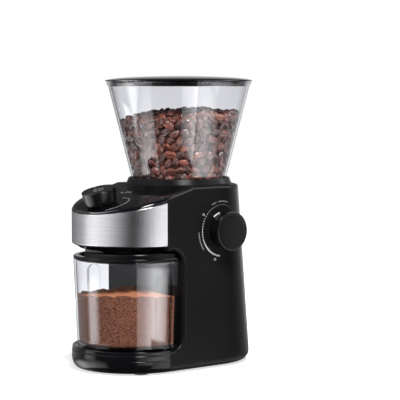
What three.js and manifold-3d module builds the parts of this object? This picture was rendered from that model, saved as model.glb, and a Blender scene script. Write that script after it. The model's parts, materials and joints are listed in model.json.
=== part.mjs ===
// Burr coffee grinder: stadium-shaped body with a jar bay, clear bean hopper, conical burrs,
// a two-stage geared motor drive and a side dial that raises and lowers the ring burr.
// Millimetres, +Z up, front towards -Y. The origin is the middle of the footprint on the worktop.
import * as THREE from "three";
import { mergeVertices } from "three/addons/utils/BufferGeometryUtils.js";
import Module from "manifold-3d";

const wasm = await Module();
wasm.setup();

// ---- driving dimensions -------------------------------------------------------------------
const GAP = 0.3; // clearance left between neighbouring solids
const WALL = 2.6; // moulded casing wall
const REACH = 80; // half width of the blocks that cut or trim right across the body
const FORE = -130; // in front of everything
const SKY = 240; // above the casing

const NOSE_Y = -40.6; // centre of the half round nose
const BODY_R = 69.7; // half width of the body and radius of both half rounds
const INNER_HALF = 66.3; // half width of what sits between the side walls
const BODY_FOOT = 2.5; // lowest edge of the casing
const BODY_TOP = 206.5;
const TOP_THICK = 3;
const REAR_Y = 40.7; // centre of the rear half round at LEAN_Z
const LEAN_Z = 22;
const LEAN = -0.0907; // the back leans forward by this much for each mm of height

const DECK_FRONT_Z = 179.5; // deck height at its front edge
const DECK_TILT = THREE.MathUtils.degToRad(15.2);
const DECK_SLOPE = Math.tan(DECK_TILT);
const DECK_FRONT_Y = NOSE_Y - BODY_R;

const BAND_BOTTOM = 143.1;
const BAND_FRONT_TOP = 177;
const BAND_SLOPE = 0.2137;
const BAND_THICK = 1.2;
const BAND_REAR_Y = -47.7;

const CEILING_Z = 137; // bay ceiling
const BAY_BACK_Y = -25;
const BAY_CORNER = 18; // corner radius of the side windows
const PANEL_CORNER = 5; // corner radius of the lining between them
const PLATEAU_Z = 26; // the jar stands on this
const BASE_R = 70.5;
const BASE_SEAM_Y = -44;

const BURR_Y = 26.2; // vertical axis of hopper, burrs and drive shaft
const COLLAR_HOLE_R = 61.2;
const COLLAR_TOP = 214.1;
const HOPPER_TOP = 323.5;
const LID_R = 85.07;
const LID_TOP = 330;

const DIAL_Y = 31.2;
const DIAL_Z = 156.4;
const KNOB_OUT = 18.5; // how far the side knob stands out
const KNOB_R = 22;

const SELECTOR_Y = -85.3;
const SELECTOR_R = 19.5;
const SELECTOR_HEIGHT = 15.6;
const SELECTOR_LIFT = 2.8; // underside of the knob above the deck plane

const JAR_FOOT = PLATEAU_Z + GAP;
const JAR_RIM = 125;
const JAR_R_RIM = 68.1;
const JAR_R_FOOT = 63.7;
const JAR_BACK = 11; // flat back of the jar behind NOSE_Y, at the rim
const JAR_CORNER = 4;
const JAR_WALL = 2.4;
const JAR_FLOOR = 4;
const LID_CROWN_TOP = 134.8;

const GEAR_MODULE = 1.5;
const PINION_TEETH = 8;
const IDLER_TEETH = 32;
const IDLER_PINION_TEETH = 10;
const OUTPUT_TEETH = 34;
const MOTOR_Y = BURR_Y + 22;
const IDLER_X = -29.24;
const IDLER_Y = BURR_Y + 15.3;
const LOWER_GEAR_Z = 113.5;
const UPPER_GEAR_Z = 124;
const GEAR_FACE = 7.5;

const ADJUST_PITCH_R = 8; // pitch radius of the pinion on the dial shaft
const ADJUST_TEETH = 12;
const CROWN_TEETH = 60; // on the full circle
const CROWN_SECTOR = 9; // teeth each side of the mesh that the dial can reach
const CROWN_R = 40;

// ---- materials ----------------------------------------------------------------------------
function material(color, roughness, metalness = 0, opacity = 1) {
  const transparent = opacity < 1;
  return new THREE.MeshStandardMaterial({ color, roughness, metalness, opacity, transparent });
}

const satinBlack = material(0x202022, 0.45);
const glossBlack = material(0x0b0b0d, 0.08);
const stainless = material(0xb9b9c0, 0.3, 1);
const clear = material(0xe8edf2, 0.03, 0, 0.3);
const rubber = material(0x1a1a1a, 0.85);
const seal = material(0xd9d6d0, 0.7);
const innerPlastic = material(0x3a3b3e, 0.55);
const gearNylon = material(0xe6e0cf, 0.5);
const steel = material(0x9a9ca1, 0.35, 1);
const burrSteel = material(0x7f8287, 0.28, 1);
const copper = material(0xb5713a, 0.35, 1);
const graphite = material(0x2c2c2e, 0.7);
const board = material(0x1f5a3c, 0.5);
const printed = material(0x26272b, 0.4);

// ---- geometry helpers ---------------------------------------------------------------------
function signedVolume(geometry) {
  const position = geometry.attributes.position;
  const index = geometry.index;
  const corner = [new THREE.Vector3(), new THREE.Vector3(), new THREE.Vector3()];
  let volume = 0;
  for (let i = 0; i < index.count; i += 3) {
    corner.forEach((vector, k) => vector.fromBufferAttribute(position, index.getX(i + k)));
    volume += corner[0].dot(corner[1].cross(corner[2])) / 6;
  }
  return volume;
}

function flipFaces(geometry) {
  const index = geometry.index;
  for (let i = 0; i < index.count; i += 3) {
    const first = index.getX(i);
    index.setX(i, index.getX(i + 1));
    index.setX(i + 1, first);
  }
}

// One closed indexed body with shared vertices and its faces pointing out.
function closed(geometry) {
  geometry.deleteAttribute("normal");
  geometry.deleteAttribute("uv");
  const merged = mergeVertices(geometry, 1e-4);
  if (signedVolume(merged) < 0) flipFaces(merged);
  return merged;
}

function manifold(geometry) {
  const vertProperties = new Float32Array(geometry.attributes.position.array);
  const triVerts = new Uint32Array(geometry.index.array);
  return new wasm.Manifold(new wasm.Mesh({ numProp: 3, vertProperties, triVerts }));
}

function fromManifold(result) {
  const mesh = result.getMesh();
  const geometry = new THREE.BufferGeometry();
  geometry.setAttribute("position", new THREE.BufferAttribute(new Float32Array(mesh.vertProperties), 3));
  geometry.setIndex(new THREE.BufferAttribute(new Uint32Array(mesh.triVerts), 1));
  return geometry;
}

function cut(geometry, ...tools) {
  return fromManifold(tools.reduce((rest, tool) => rest.subtract(manifold(tool)), manifold(geometry)));
}

function join(geometry, ...others) {
  return fromManifold(others.reduce((sum, other) => sum.add(manifold(other)), manifold(geometry)));
}

function common(geometry, ...others) {
  return fromManifold(others.reduce((rest, other) => rest.intersect(manifold(other)), manifold(geometry)));
}

// Points along an arc, angles in degrees.
function arc(cx, cy, radius, from, to, steps) {
  const points = [];
  for (let i = 0; i <= steps; i++) {
    const angle = THREE.MathUtils.degToRad(from + ((to - from) * i) / steps);
    points.push([cx + radius * Math.cos(angle), cy + radius * Math.sin(angle)]);
  }
  return points;
}

function shapeOf(points, holes = []) {
  const vectors = (outline) => outline.map(([x, y]) => new THREE.Vector2(x, y));
  const shape = new THREE.Shape(vectors(points));
  holes.forEach((hole) => shape.holes.push(new THREE.Path(vectors(hole))));
  return shape;
}

// Outline in X and Y, extruded from z0 up to z1.
function prism(points, z0, z1, holes = [], steps = 1) {
  const options = { depth: z1 - z0, steps, bevelEnabled: false, curveSegments: 1 };
  return closed(new THREE.ExtrudeGeometry(shapeOf(points, holes), options).translate(0, 0, z0));
}

// Outline in Y and Z, extruded from x0 to x1, or right across the body.
function prismX(points, x0 = -REACH, x1 = REACH) {
  const options = { depth: x1 - x0, bevelEnabled: false };
  const geometry = new THREE.ExtrudeGeometry(shapeOf(points), options);
  const xAxis = new THREE.Vector3(0, 1, 0);
  const yAxis = new THREE.Vector3(0, 0, 1);
  const zAxis = new THREE.Vector3(1, 0, 0);
  geometry.applyMatrix4(new THREE.Matrix4().makeBasis(xAxis, yAxis, zAxis));
  return closed(geometry.translate(x0, 0, 0));
}

function box(x0, x1, y0, y1, z0, z1) {
  const geometry = new THREE.BoxGeometry(x1 - x0, y1 - y0, z1 - z0);
  return closed(geometry.translate((x0 + x1) / 2, (y0 + y1) / 2, (z0 + z1) / 2));
}

// Closed profile of [radius, height] points turned round a vertical axis.
function turned(profile, segments = 32, x = 0, y = 0) {
  const points = [...profile, profile[0]].map(([r, z]) => new THREE.Vector2(r, z));
  const geometry = new THREE.LatheGeometry(points, segments).rotateX(Math.PI / 2);
  return closed(geometry.translate(x, y, 0));
}

function rod(radius, z0, z1, segments = 24, x = 0, y = 0) {
  const geometry = new THREE.CylinderGeometry(radius, radius, z1 - z0, segments).rotateX(Math.PI / 2);
  return closed(geometry.translate(x, y, (z0 + z1) / 2));
}

function tube(inner, outer, z0, z1, segments = 28, x = 0, y = 0) {
  return turned([[inner, z0], [outer, z0], [outer, z1], [inner, z1]], segments, x, y);
}

// Move every vertex with a function that edits a Vector3.
function reshape(geometry, edit) {
  const position = geometry.attributes.position;
  const point = new THREE.Vector3();
  for (let i = 0; i < position.count; i++) {
    point.fromBufferAttribute(position, i);
    edit(point);
    position.setXYZ(i, point.x, point.y, point.z);
  }
  return geometry;
}

// ---- outlines -----------------------------------------------------------------------------
function stadium(inset) {
  const radius = BODY_R - inset;
  return [...arc(0, NOSE_Y, radius, 180, 360, 28), ...arc(0, REAR_Y, radius, 0, 180, 28)];
}

// Stadium prism whose rear half follows the leaning back.
function leaningBody(inset, z0, z1) {
  return reshape(prism(stadium(inset), z0, z1), (point) => {
    if (point.y > 0) point.y += LEAN * (point.z - LEAN_Z);
  });
}

function rearCentre(z) {
  return REAR_Y + LEAN * (z - LEAN_Z);
}

function deckHeight(y) {
  return DECK_FRONT_Z + DECK_SLOPE * (y - DECK_FRONT_Y);
}

function bandHeight(y) {
  return BAND_FRONT_TOP + BAND_SLOPE * (y - DECK_FRONT_Y);
}

function deckLevelY(z) {
  return DECK_FRONT_Y + (z - DECK_FRONT_Z) / DECK_SLOPE;
}

// The jar and its lid: round front, straight sides, flat back with rounded corners.
function jarOutline(inset) {
  const radius = JAR_R_RIM - inset;
  const back = NOSE_Y + JAR_BACK - inset;
  const corner = Math.max(JAR_CORNER - inset, 1);
  return [
    ...arc(0, NOSE_Y, radius, 180, 360, 28),
    ...arc(radius - corner, back - corner, corner, 0, 90, 5),
    ...arc(corner - radius, back - corner, corner, 90, 180, 5),
  ];
}

// Jar bay seen from the side, open towards the front.
function bayOutline(grow, radius) {
  const back = BAY_BACK_Y + grow;
  const low = PLATEAU_Z - 0.1 - grow;
  const high = CEILING_Z + grow;
  return [
    [BODY_R * -3, low],
    ...arc(back - radius, low + radius, radius, -90, 0, 8),
    ...arc(back - radius, high - radius, radius, 0, 90, 8),
    [BODY_R * -3, high],
  ];
}

// Toothed wheel outline with straight-flanked teeth. Teeth are slimmer than the spaces.
function gearOutline(teeth, gearModule, share = 0.36) {
  const pitch = (teeth * gearModule) / 2;
  const tip = pitch + 0.85 * gearModule;
  const root = pitch - 1.1 * gearModule;
  const points = [];
  for (let i = 0; i < teeth; i++) {
    const centre = (i * 2 * Math.PI) / teeth;
    const half = (Math.PI / teeth) * share;
    for (const [radius, offset] of [[root, -1.7], [tip, -0.5], [tip, 0.5], [root, 1.7]]) {
      const angle = centre + offset * half * (radius === root ? 1 : 1.1);
      points.push([radius * Math.cos(angle), radius * Math.sin(angle)]);
    }
  }
  return points;
}

function turnOutline(points, angle, x = 0, y = 0) {
  const c = Math.cos(angle);
  const s = Math.sin(angle);
  return points.map(([px, py]) => [x + px * c - py * s, y + px * s + py * c]);
}

// Hub with straight radial blades, as one outline.
function paddleOutline(blades, hub, tip, thickness) {
  const points = [];
  for (let i = 0; i < blades; i++) {
    const angle = (i * 2 * Math.PI) / blades;
    const root = Math.asin(thickness / 2 / hub);
    const end = Math.asin(thickness / 2 / tip);
    for (const [radius, offset] of [[hub, -root], [tip, -end], [tip, end], [hub, root]]) {
      points.push([radius * Math.cos(angle + offset), radius * Math.sin(angle + offset)]);
    }
  }
  return points;
}

// ---- the scene ----------------------------------------------------------------------------
const grinder = new THREE.Group();

function add(name, geometry, finish, parent = grinder) {
  const mesh = new THREE.Mesh(geometry, finish);
  mesh.name = name;
  mesh.geometry.computeVertexNormals();
  parent.add(mesh);
  return mesh;
}

// ---- casing -------------------------------------------------------------------------------
function bodyShell() {
  const outside = leaningBody(0, BODY_FOOT, BODY_TOP);
  const inside = leaningBody(WALL, 0, BODY_TOP - TOP_THICK);
  const aboveDeck = prismX([[FORE, deckHeight(FORE)], [0, deckHeight(0)], [0, SKY], [FORE, SKY]]);
  const nose = box(-REACH, REACH, FORE, BAND_REAR_Y + GAP, CEILING_Z - 5, SKY);
  const baseNose = box(-REACH, REACH, FORE, BASE_SEAM_Y + GAP, -5, CEILING_Z);
  const bay = prismX(bayOutline(1.4, BAY_CORNER));
  const collarHole = rod(COLLAR_HOLE_R, 190, 220, 44, 0, BURR_Y);
  const dialHole = rod(8.6, 0, 30, 20).rotateY(Math.PI / 2).translate(55, DIAL_Y, DIAL_Z);
  const cordHole = rod(7.1, 0, 40, 20).rotateX(-Math.PI / 2).translate(0, 90, 28);
  return cut(outside, inside, aboveDeck, nose, baseNose, bay, collarHole, dialHole, cordHole);
}

function topDeck() {
  const front = DECK_FRONT_Y - 3;
  const seam = BAND_REAR_Y - GAP;
  const rearTop = deckLevelY(BODY_TOP);
  const noseSlab = common(
    prism(stadium(0), 150, 230),
    prismX([
      [front, bandHeight(front) + GAP],
      [seam, bandHeight(seam) + GAP],
      [seam, deckHeight(seam)],
      [front, deckHeight(front)],
    ]),
  );
  const depth = 3.4;
  const rearSlab = prismX(
    [
      [seam - 2, deckHeight(seam - 2) - depth],
      [rearTop, BODY_TOP - depth],
      [rearTop, BODY_TOP],
      [seam - 2, deckHeight(seam - 2)],
    ],
    -INNER_HALF,
    INNER_HALF,
  );
  const topPlate = BODY_TOP - TOP_THICK;
  const shellTop = box(-REACH, REACH, deckLevelY(topPlate) - 3.5, 10, topPlate - GAP - 0.4, SKY);
  const stemHole = rod(6, -20, 20, 20).rotateX(DECK_TILT);
  stemHole.translate(0, SELECTOR_Y, deckHeight(SELECTOR_Y));
  const collarHole = rod(COLLAR_HOLE_R, 180, 220, 44, 0, BURR_Y);
  return cut(join(noseSlab, cut(rearSlab, shellTop)), collarHole, stemHole);
}

function frontBand() {
  const ring = tube(BODY_R - BAND_THICK, BODY_R, BAND_BOTTOM, 200, 64, 0, NOSE_Y);
  const front = DECK_FRONT_Y - 3;
  const side = prismX([
    [front, BAND_BOTTOM - 1],
    [BAND_REAR_Y, BAND_BOTTOM - 1],
    [BAND_REAR_Y, bandHeight(BAND_REAR_Y)],
    [front, bandHeight(front)],
  ]);
  return common(ring, side);
}

function headFrame() {
  const outer = BODY_R - BAND_THICK - GAP;
  const inner = outer - WALL;
  const floor = CEILING_Z + WALL;
  const profile = [
    [0, CEILING_Z], [60, CEILING_Z], [BODY_R - 0.5, BAND_BOTTOM - 0.6], [BODY_R - 0.5, BAND_BOTTOM - GAP],
    [outer, BAND_BOTTOM - GAP], [outer, 200], [inner, 200], [inner, BAND_BOTTOM + 1], [59, floor],
    [0, floor],
  ];
  const bowl = turned(profile, 48, 0, NOSE_Y);
  const front = DECK_FRONT_Y - 3;
  const seam = BAND_REAR_Y - GAP;
  const side = prismX([
    [front, CEILING_Z - 1],
    [seam, CEILING_Z - 1],
    [seam, bandHeight(seam) - GAP],
    [front, bandHeight(front) - GAP],
  ]);
  const chuteHole = box(-13, 13, -69, -48.6 + 0.2, CEILING_Z - 2, floor + 2);
  return cut(common(bowl, side), chuteHole);
}

function bayPanel() {
  const outside = prismX(bayOutline(WALL - GAP, PANEL_CORNER + WALL - GAP), -INNER_HALF, INNER_HALF);
  const strip = cut(outside, prismX(bayOutline(0, PANEL_CORNER)));
  const behindHead = box(-REACH, REACH, BAND_REAR_Y + GAP, 0, 80, 160);
  const behindBase = box(-REACH, REACH, BASE_SEAM_Y + GAP, 0, 10, 81);
  return common(strip, join(behindHead, behindBase));
}

function baseFront() {
  const profile = [
    [0, PLATEAU_Z - WALL], [66.2, PLATEAU_Z - WALL], [67.6, 20], [67.6, 14], [65, 7.5], [60.5, BODY_FOOT],
    [63.5, BODY_FOOT], [67.3, 6], [69.6, 10.5], [BASE_R, 16], [BASE_R, 21.7], [69.8, 22.4], [68.4, 25.2],
    [67.5, PLATEAU_Z], [0, PLATEAU_Z],
  ];
  const seam = BASE_SEAM_Y - GAP;
  return common(turned(profile, 48, 0, NOSE_Y), box(-REACH, REACH, FORE, seam, 0, 40));
}

const SHOULDER_Y = BASE_SEAM_Y + 0.4; // the bottom cover widens here, behind the base front
const SCREW_X = 48;
const SCREW_Y = 4;
const CHASSIS_POSTS = [[-40, 4], [40, 20], [6, 88]];

function bottomCover() {
  const noseR = 60;
  const half = BODY_R - WALL - GAP;
  const step = THREE.MathUtils.radToDeg(Math.asin((NOSE_Y - SHOULDER_Y) / noseR));
  const outline = [
    ...arc(0, NOSE_Y, noseR, 180 + step, 360 - step, 26),
    [half, SHOULDER_Y],
    ...arc(0, rearCentre(BODY_FOOT), half, 0, 180, 28),
    [-half, SHOULDER_Y],
  ];
  const plate = prism(outline, BODY_FOOT + 0.1, BODY_FOOT + 2.6);
  const slots = [];
  for (let i = -3; i <= 3; i++) {
    slots.push(box(i * 7 - 1.5, i * 7 + 1.5, MOTOR_Y - 20, MOTOR_Y + 20, 0, 10));
  }
  const sink = [[0, 0], [5.2, 0], [2.4, 2.8], [2.4, 10], [0, 10]];
  const screwHoles = [-SCREW_X, SCREW_X].map((x) => turned(sink, 16, x, SCREW_Y));
  const posts = CHASSIS_POSTS.map(([x, y]) => tube(2, 4.5, BODY_FOOT + 1, 108.2, 12, x, y));
  return join(cut(plate, ...slots, ...screwHoles), ...posts);
}

function footPlaces() {
  return [[-42, -64], [42, -64], [-40, 72], [40, 72]];
}

function casing() {
  add("body_shell", bodyShell(), satinBlack);
  add("top_deck", topDeck(), glossBlack);
  add("front_band", frontBand(), stainless);
  add("head_frame", headFrame(), glossBlack);
  add("bay_panel", bayPanel(), satinBlack);
  add("base_front", baseFront(), glossBlack);
  add("bottom_cover", bottomCover(), innerPlastic);
  const footNames = ["front_left", "front_right", "rear_left", "rear_right"];
  footPlaces().forEach(([x, y], i) => {
    const profile = [[2.6, 0], [9, 0], [9.2, BODY_FOOT - 0.2], [2.6, BODY_FOOT - 0.2]];
    const pad = turned(profile, 18, x, y);
    add(`foot_${footNames[i]}`, pad, rubber);
  });
  for (const [name, x] of [["cover_screw_left", -SCREW_X], ["cover_screw_right", SCREW_X]]) {
    add(name, turned([[0, 1], [4, 1], [2, 2.8], [2, 12], [0, 14]], 16, x, SCREW_Y), steel);
  }
  const gland = turned([[3.3, 0], [9.6, 0], [9.6, 3], [6.8, 3], [6.8, 7.8], [3.3, 7.8]], 20);
  add("cord_gland", gland.rotateX(-Math.PI / 2).translate(0, 103.2, 28), rubber);
}

// ---- bean hopper --------------------------------------------------------------------------
const LUG_ANGLES = [50, 170, 290];
const LUG_HALF = 12;
const PIN_ANGLE = 261.5; // the locked lug ends over the interlock pin
const PIN_R = 52.2;
const PIN_TOP = 192.9;

// Piece of a flat ring between two angles.
function sector(y, inner, outer, z0, z1, from, to, steps = 4) {
  return prism([...arc(0, y, outer, from, to, steps), ...arc(0, y, inner, to, from, steps)], z0, z1);
}

function hopperCollar() {
  const profile = [
    [54.3, 187.2], [57, 187.2], [57, 199], [60.7, 199], [60.7, 206.9], [57.9, COLLAR_TOP],
    [55.6, COLLAR_TOP], [54.3, 207],
  ];
  const ring = turned(profile, 36, 0, BURR_Y);
  const tab = (angle) => sector(BURR_Y, 50.6, 54.8, 196.4, 198.8, angle - 34, angle - 14);
  return join(ring, ...LUG_ANGLES.map(tab));
}

function hopperCone() {
  const profile = [
    [24.3, 184.5], [26.5, 184.5], [26.5, 189.2], [47.8, 203.6], [47.8, 190.5], [50, 190.5], [50, 205],
    [54.9, 214.3], [80.9, 318], [83, 321.5], [83, HOPPER_TOP], [80.6, HOPPER_TOP], [78.4, 318],
    [52.5, 214.3], [49.6, 208.9], [24.3, 191.8],
  ];
  const cone = turned(profile, 36, 0, BURR_Y);
  const lug = (angle) => sector(BURR_Y, 49, 53, 192, 196, angle - LUG_HALF, angle + LUG_HALF);
  return join(cone, ...LUG_ANGLES.map(lug));
}

function hopperLid() {
  const profile = [
    [0, LID_TOP], [45, 329.2], [75, 327.2], [LID_R, 325], [LID_R, 323.8], [77.8, 323.8], [77.8, 318.2],
    [75.8, 318.2], [75.8, 322.6], [0, 327.2],
  ];
  return turned(profile, 36, 0, BURR_Y);
}

function hopper() {
  add("hopper_collar", hopperCollar(), satinBlack);
  add("hopper_seal", tube(50.3, 54, 200.2, 203.2, 44, 0, BURR_Y), seal);
  add("hopper", hopperCone(), clear);
  add("hopper_lid", hopperLid(), glossBlack);
}

// ---- grounds jar --------------------------------------------------------------------------
// Scale the plan about the nose centre so the jar narrows towards its foot.
function tapered(geometry) {
  return reshape(geometry, (point) => {
    const rise = (point.z - JAR_FOOT) / (JAR_RIM - JAR_FOOT);
    const scale = THREE.MathUtils.lerp(JAR_R_FOOT / JAR_R_RIM, 1, rise);
    point.x *= scale;
    point.y = NOSE_Y + (point.y - NOSE_Y) * scale;
  });
}

function jarBody() {
  const outside = tapered(prism(jarOutline(0), JAR_FOOT, JAR_RIM));
  const inside = tapered(prism(jarOutline(JAR_WALL), JAR_FOOT + JAR_FLOOR, JAR_RIM + 3));
  return cut(outside, inside);
}

function jarLid() {
  const flange = prism(jarOutline(0), JAR_RIM + GAP, JAR_RIM + 4);
  const crown = prism(jarOutline(2.9), JAR_RIM + 3, LID_CROWN_TOP);
  const plug = prism(jarOutline(JAR_WALL + 2 * GAP + 0.4), JAR_RIM - 6, JAR_RIM + 1);
  const hollow = prism(jarOutline(6.3), JAR_RIM - 9, LID_CROWN_TOP - 2.2);
  const mouth = box(-18, 18, -72, -46, JAR_RIM - 9, LID_CROWN_TOP + 3);
  return cut(join(flange, crown, plug), hollow, mouth);
}

function jar() {
  add("jar", jarBody(), clear);
  add("jar_lid", jarLid(), glossBlack);
}

// ---- burrs and drive ----------------------------------------------------------------------
// Conical burr: toothed outline tapered and twisted as it rises.
function coneBurr() {
  const z0 = 158.5;
  const z1 = 183.5;
  const geometry = prism(starOutline(15, 18.8, 16.6), z0, z1, [arc(0, 0, 4.3, 0, 340, 17)], 5);
  reshape(geometry, (point) => {
    const radius = Math.hypot(point.x, point.y);
    if (radius < 6) return;
    const rise = THREE.MathUtils.clamp((point.z - 166) / (z1 - 166), 0, 1);
    const scale = THREE.MathUtils.lerp(1, 0.52, rise);
    const angle = Math.atan2(point.y, point.x) + 0.55 * rise;
    point.set(radius * scale * Math.cos(angle), radius * scale * Math.sin(angle), point.z);
  });
  return geometry.translate(0, BURR_Y, 0);
}

function starOutline(points, tip, root) {
  const outline = [];
  for (let i = 0; i < points; i++) {
    const centre = (i * 2 * Math.PI) / points;
    const step = Math.PI / points;
    outline.push([tip * Math.cos(centre), tip * Math.sin(centre)]);
    outline.push([root * Math.cos(centre + step), root * Math.sin(centre + step)]);
  }
  return outline;
}

function ringBurr() {
  const z0 = 167;
  const z1 = 181;
  const bore = starOutline(18, 22.4, 20.4).reverse();
  const geometry = prism(arc(0, 0, 27.5, 0, 350, 35), z0, z1, [bore], 2);
  reshape(geometry, (point) => {
    const radius = Math.hypot(point.x, point.y);
    if (radius > 25) return;
    const scale = THREE.MathUtils.lerp(1, 0.9, (point.z - z0) / (z1 - z0));
    point.x *= scale;
    point.y *= scale;
  });
  return geometry.translate(0, BURR_Y, 0);
}

function burrCarrier() {
  const profile = [
    [27.8, 166.2], [31, 166.2], [31, 182.8], [23.5, 182.8], [23.5, 181.3], [27.8, 181.3],
  ];
  return turned(profile, 32, 0, BURR_Y);
}

// Ring with face teeth underneath. Each tooth lies along the line the dial shaft meshes on.
function adjustRing() {
  const pitchZ = DIAL_Z + ADJUST_PITCH_R;
  const toothModule = (2 * ADJUST_PITCH_R) / ADJUST_TEETH;
  const tip = pitchZ - 0.8 * toothModule;
  const root = pitchZ + 1.2 * toothModule;
  const ring = tube(33.2, 46, root, root + 10, 36);
  const offset = DIAL_Y - BURR_Y;
  const teeth = [];
  const profile = [[-0.5, tip], [0.5, tip], [1, root + 0.4], [-1, root + 0.4]];
  for (let i = -CROWN_SECTOR; i < CROWN_SECTOR; i++) {
    const tooth = prismX(profile, CROWN_R - 3, CROWN_R + 3);
    tooth.translate(0, offset, 0).rotateZ(((i + 0.5) * 2 * Math.PI) / CROWN_TEETH);
    teeth.push(tooth);
  }
  return join(ring, ...teeth).translate(0, BURR_Y, 0);
}

function grindingChamber() {
  const profile = [[9, 149], [31, 149], [31, 165], [28.5, 165], [28.5, 151.5], [9, 151.5]];
  const cup = turned(profile, 32, 0, BURR_Y);
  return cut(cup, box(-11, 11, BURR_Y - 40, BURR_Y - 15, 151.5, 162));
}

function burrHousing() {
  const profile = [[31.4, 143.5], [50.3, 143.5], [50.3, 186.8], [47.6, 186.8], [47.6, 146], [31.4, 146]];
  const cup = turned(profile, 36, 0, BURR_Y);
  const chuteWindow = box(-14.4, 14.4, BURR_Y - 60, BURR_Y - 40, 147, 168);
  const shaftWindow = rod(6, 0, 30, 20).rotateY(Math.PI / 2).translate(35, DIAL_Y, DIAL_Z);
  return cut(cup, chuteWindow, shaftWindow);
}

// Duct from the chamber outlet forward and down to the hole in the bay ceiling.
function groundsChute() {
  const mouthZ = CEILING_Z + 0.1;
  const outer = [
    [-5.4, 150.2], [-5.4, 162.6], [-54, 157], [-68.4, 151], [-68.4, mouthZ], [-48.9, mouthZ], [-48.9, 144],
  ];
  const below = CEILING_Z - 5;
  const inner = [
    [0, 151.2], [0, 161.8], [-53.6, 155.5], [-66.8, 150], [-66.8, below], [-50.5, below], [-50.5, 145.4],
  ];
  return cut(prismX(outer, -12.6, 12.6), prismX(inner, -11, 11));
}

function burrs() {
  add("grinding_chamber", grindingChamber(), innerPlastic);
  add("burr_housing", burrHousing(), innerPlastic);
  add("grounds_chute", groundsChute(), innerPlastic);
  add("ring_burr", ringBurr(), burrSteel);
  add("burr_carrier", burrCarrier(), innerPlastic);
  add("adjust_ring", adjustRing(), gearNylon);
  add("cone_burr", coneBurr(), burrSteel);
  const hole = arc(0, 0, 4.3, 0, 340, 17);
  const vanes = turnOutline(paddleOutline(6, 11, 26, 3), 0, 0, BURR_Y);
  add("impeller", prism(vanes, 152.6, 157.6, [turnOutline(hole, 0, 0, BURR_Y)]), gearNylon);
  add("drive_shaft", rod(4, UPPER_GEAR_Z - 0.5, 190, 18, 0, BURR_Y), steel);
  const hexagon = turnOutline(arc(0, 0, 7, 0, 300, 5), 0, 0, BURR_Y);
  const nut = prism(hexagon, 184, 188, [turnOutline(hole, 0, 0, BURR_Y)]);
  add("burr_nut", nut, steel);
  add("drive_bearing_lower", tube(4.3, 11, 140.2, 144.1, 20, 0, BURR_Y), steel);
  add("drive_bearing_upper", tube(4.3, 11, 144.5, 148.4, 20, 0, BURR_Y), steel);
}

// ---- gearbox ------------------------------------------------------------------------------
// Convex outline round the gears: big circles at the output and idler shafts.
function gearboxOutline(grow) {
  return [
    ...arc(0, BURR_Y, 30 + grow, -118, 30, 12),
    ...arc(4, MOTOR_Y + 6, 24 + grow, 30, 100, 5),
    ...arc(IDLER_X, IDLER_Y, 28.2 + grow, 100, 242, 12),
  ];
}

function meshingIdlerTurn() {
  // a space of the idler faces the motor pinion tooth that points at it
  const toMotor = Math.atan2(MOTOR_Y - IDLER_Y, -IDLER_X);
  return toMotor + Math.PI / IDLER_TEETH;
}

function gearbox() {
  const motorHole = rod(3.3, 100, 116, 20, 0, MOTOR_Y);
  const hollow = prism(gearboxOutline(-WALL), 111.5, 140);
  const cup = cut(prism(gearboxOutline(0), 108.5, 134), hollow, motorHole);
  add("gearbox_base", cup, innerPlastic);
  const plate = cut(prism(gearboxOutline(0), 134 + GAP, 139.6), rod(5, 130, 145, 20, 0, BURR_Y));
  const lid = join(plate, tube(11.4, 15, 139, 148.6, 32, 0, BURR_Y));
  add("gearbox_cover", lid, innerPlastic);
  add("idler_axle", rod(3, 111.8, 134, 20, IDLER_X, IDLER_Y), steel);

  const idlerTurn = meshingIdlerTurn();
  const bore = arc(0, 0, 3.3, 0, 337.5, 15);
  const wheel = prism(
    turnOutline(gearOutline(IDLER_TEETH, GEAR_MODULE), idlerTurn, IDLER_X, IDLER_Y),
    LOWER_GEAR_Z,
    LOWER_GEAR_Z + GEAR_FACE,
    [turnOutline(bore, 0, IDLER_X, IDLER_Y)],
  );
  const small = prism(
    turnOutline(gearOutline(IDLER_PINION_TEETH, GEAR_MODULE), idlerTurn, IDLER_X, IDLER_Y),
    LOWER_GEAR_Z + GEAR_FACE - 0.5,
    UPPER_GEAR_Z + GEAR_FACE,
    [turnOutline(bore, 0, IDLER_X, IDLER_Y)],
  );
  add("idler_gear", join(wheel, small), gearNylon);

  // a tooth of the output gear sits in the space of the idler pinion that faces it
  const toOutput = Math.atan2(BURR_Y - IDLER_Y, -IDLER_X);
  const pitch = (2 * Math.PI) / IDLER_PINION_TEETH;
  const phase = (toOutput - idlerTurn) / pitch;
  const lag = (phase - Math.floor(phase) - 0.5) * pitch * (IDLER_PINION_TEETH / OUTPUT_TEETH);
  const outputTurn = toOutput + Math.PI + lag;
  const output = prism(
    turnOutline(gearOutline(OUTPUT_TEETH, GEAR_MODULE), outputTurn, 0, BURR_Y),
    UPPER_GEAR_Z,
    UPPER_GEAR_Z + GEAR_FACE,
    [turnOutline(arc(0, 0, 4.3, 0, 340, 17), 0, 0, BURR_Y)],
  );
  add("output_gear", output, gearNylon);
}

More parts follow.
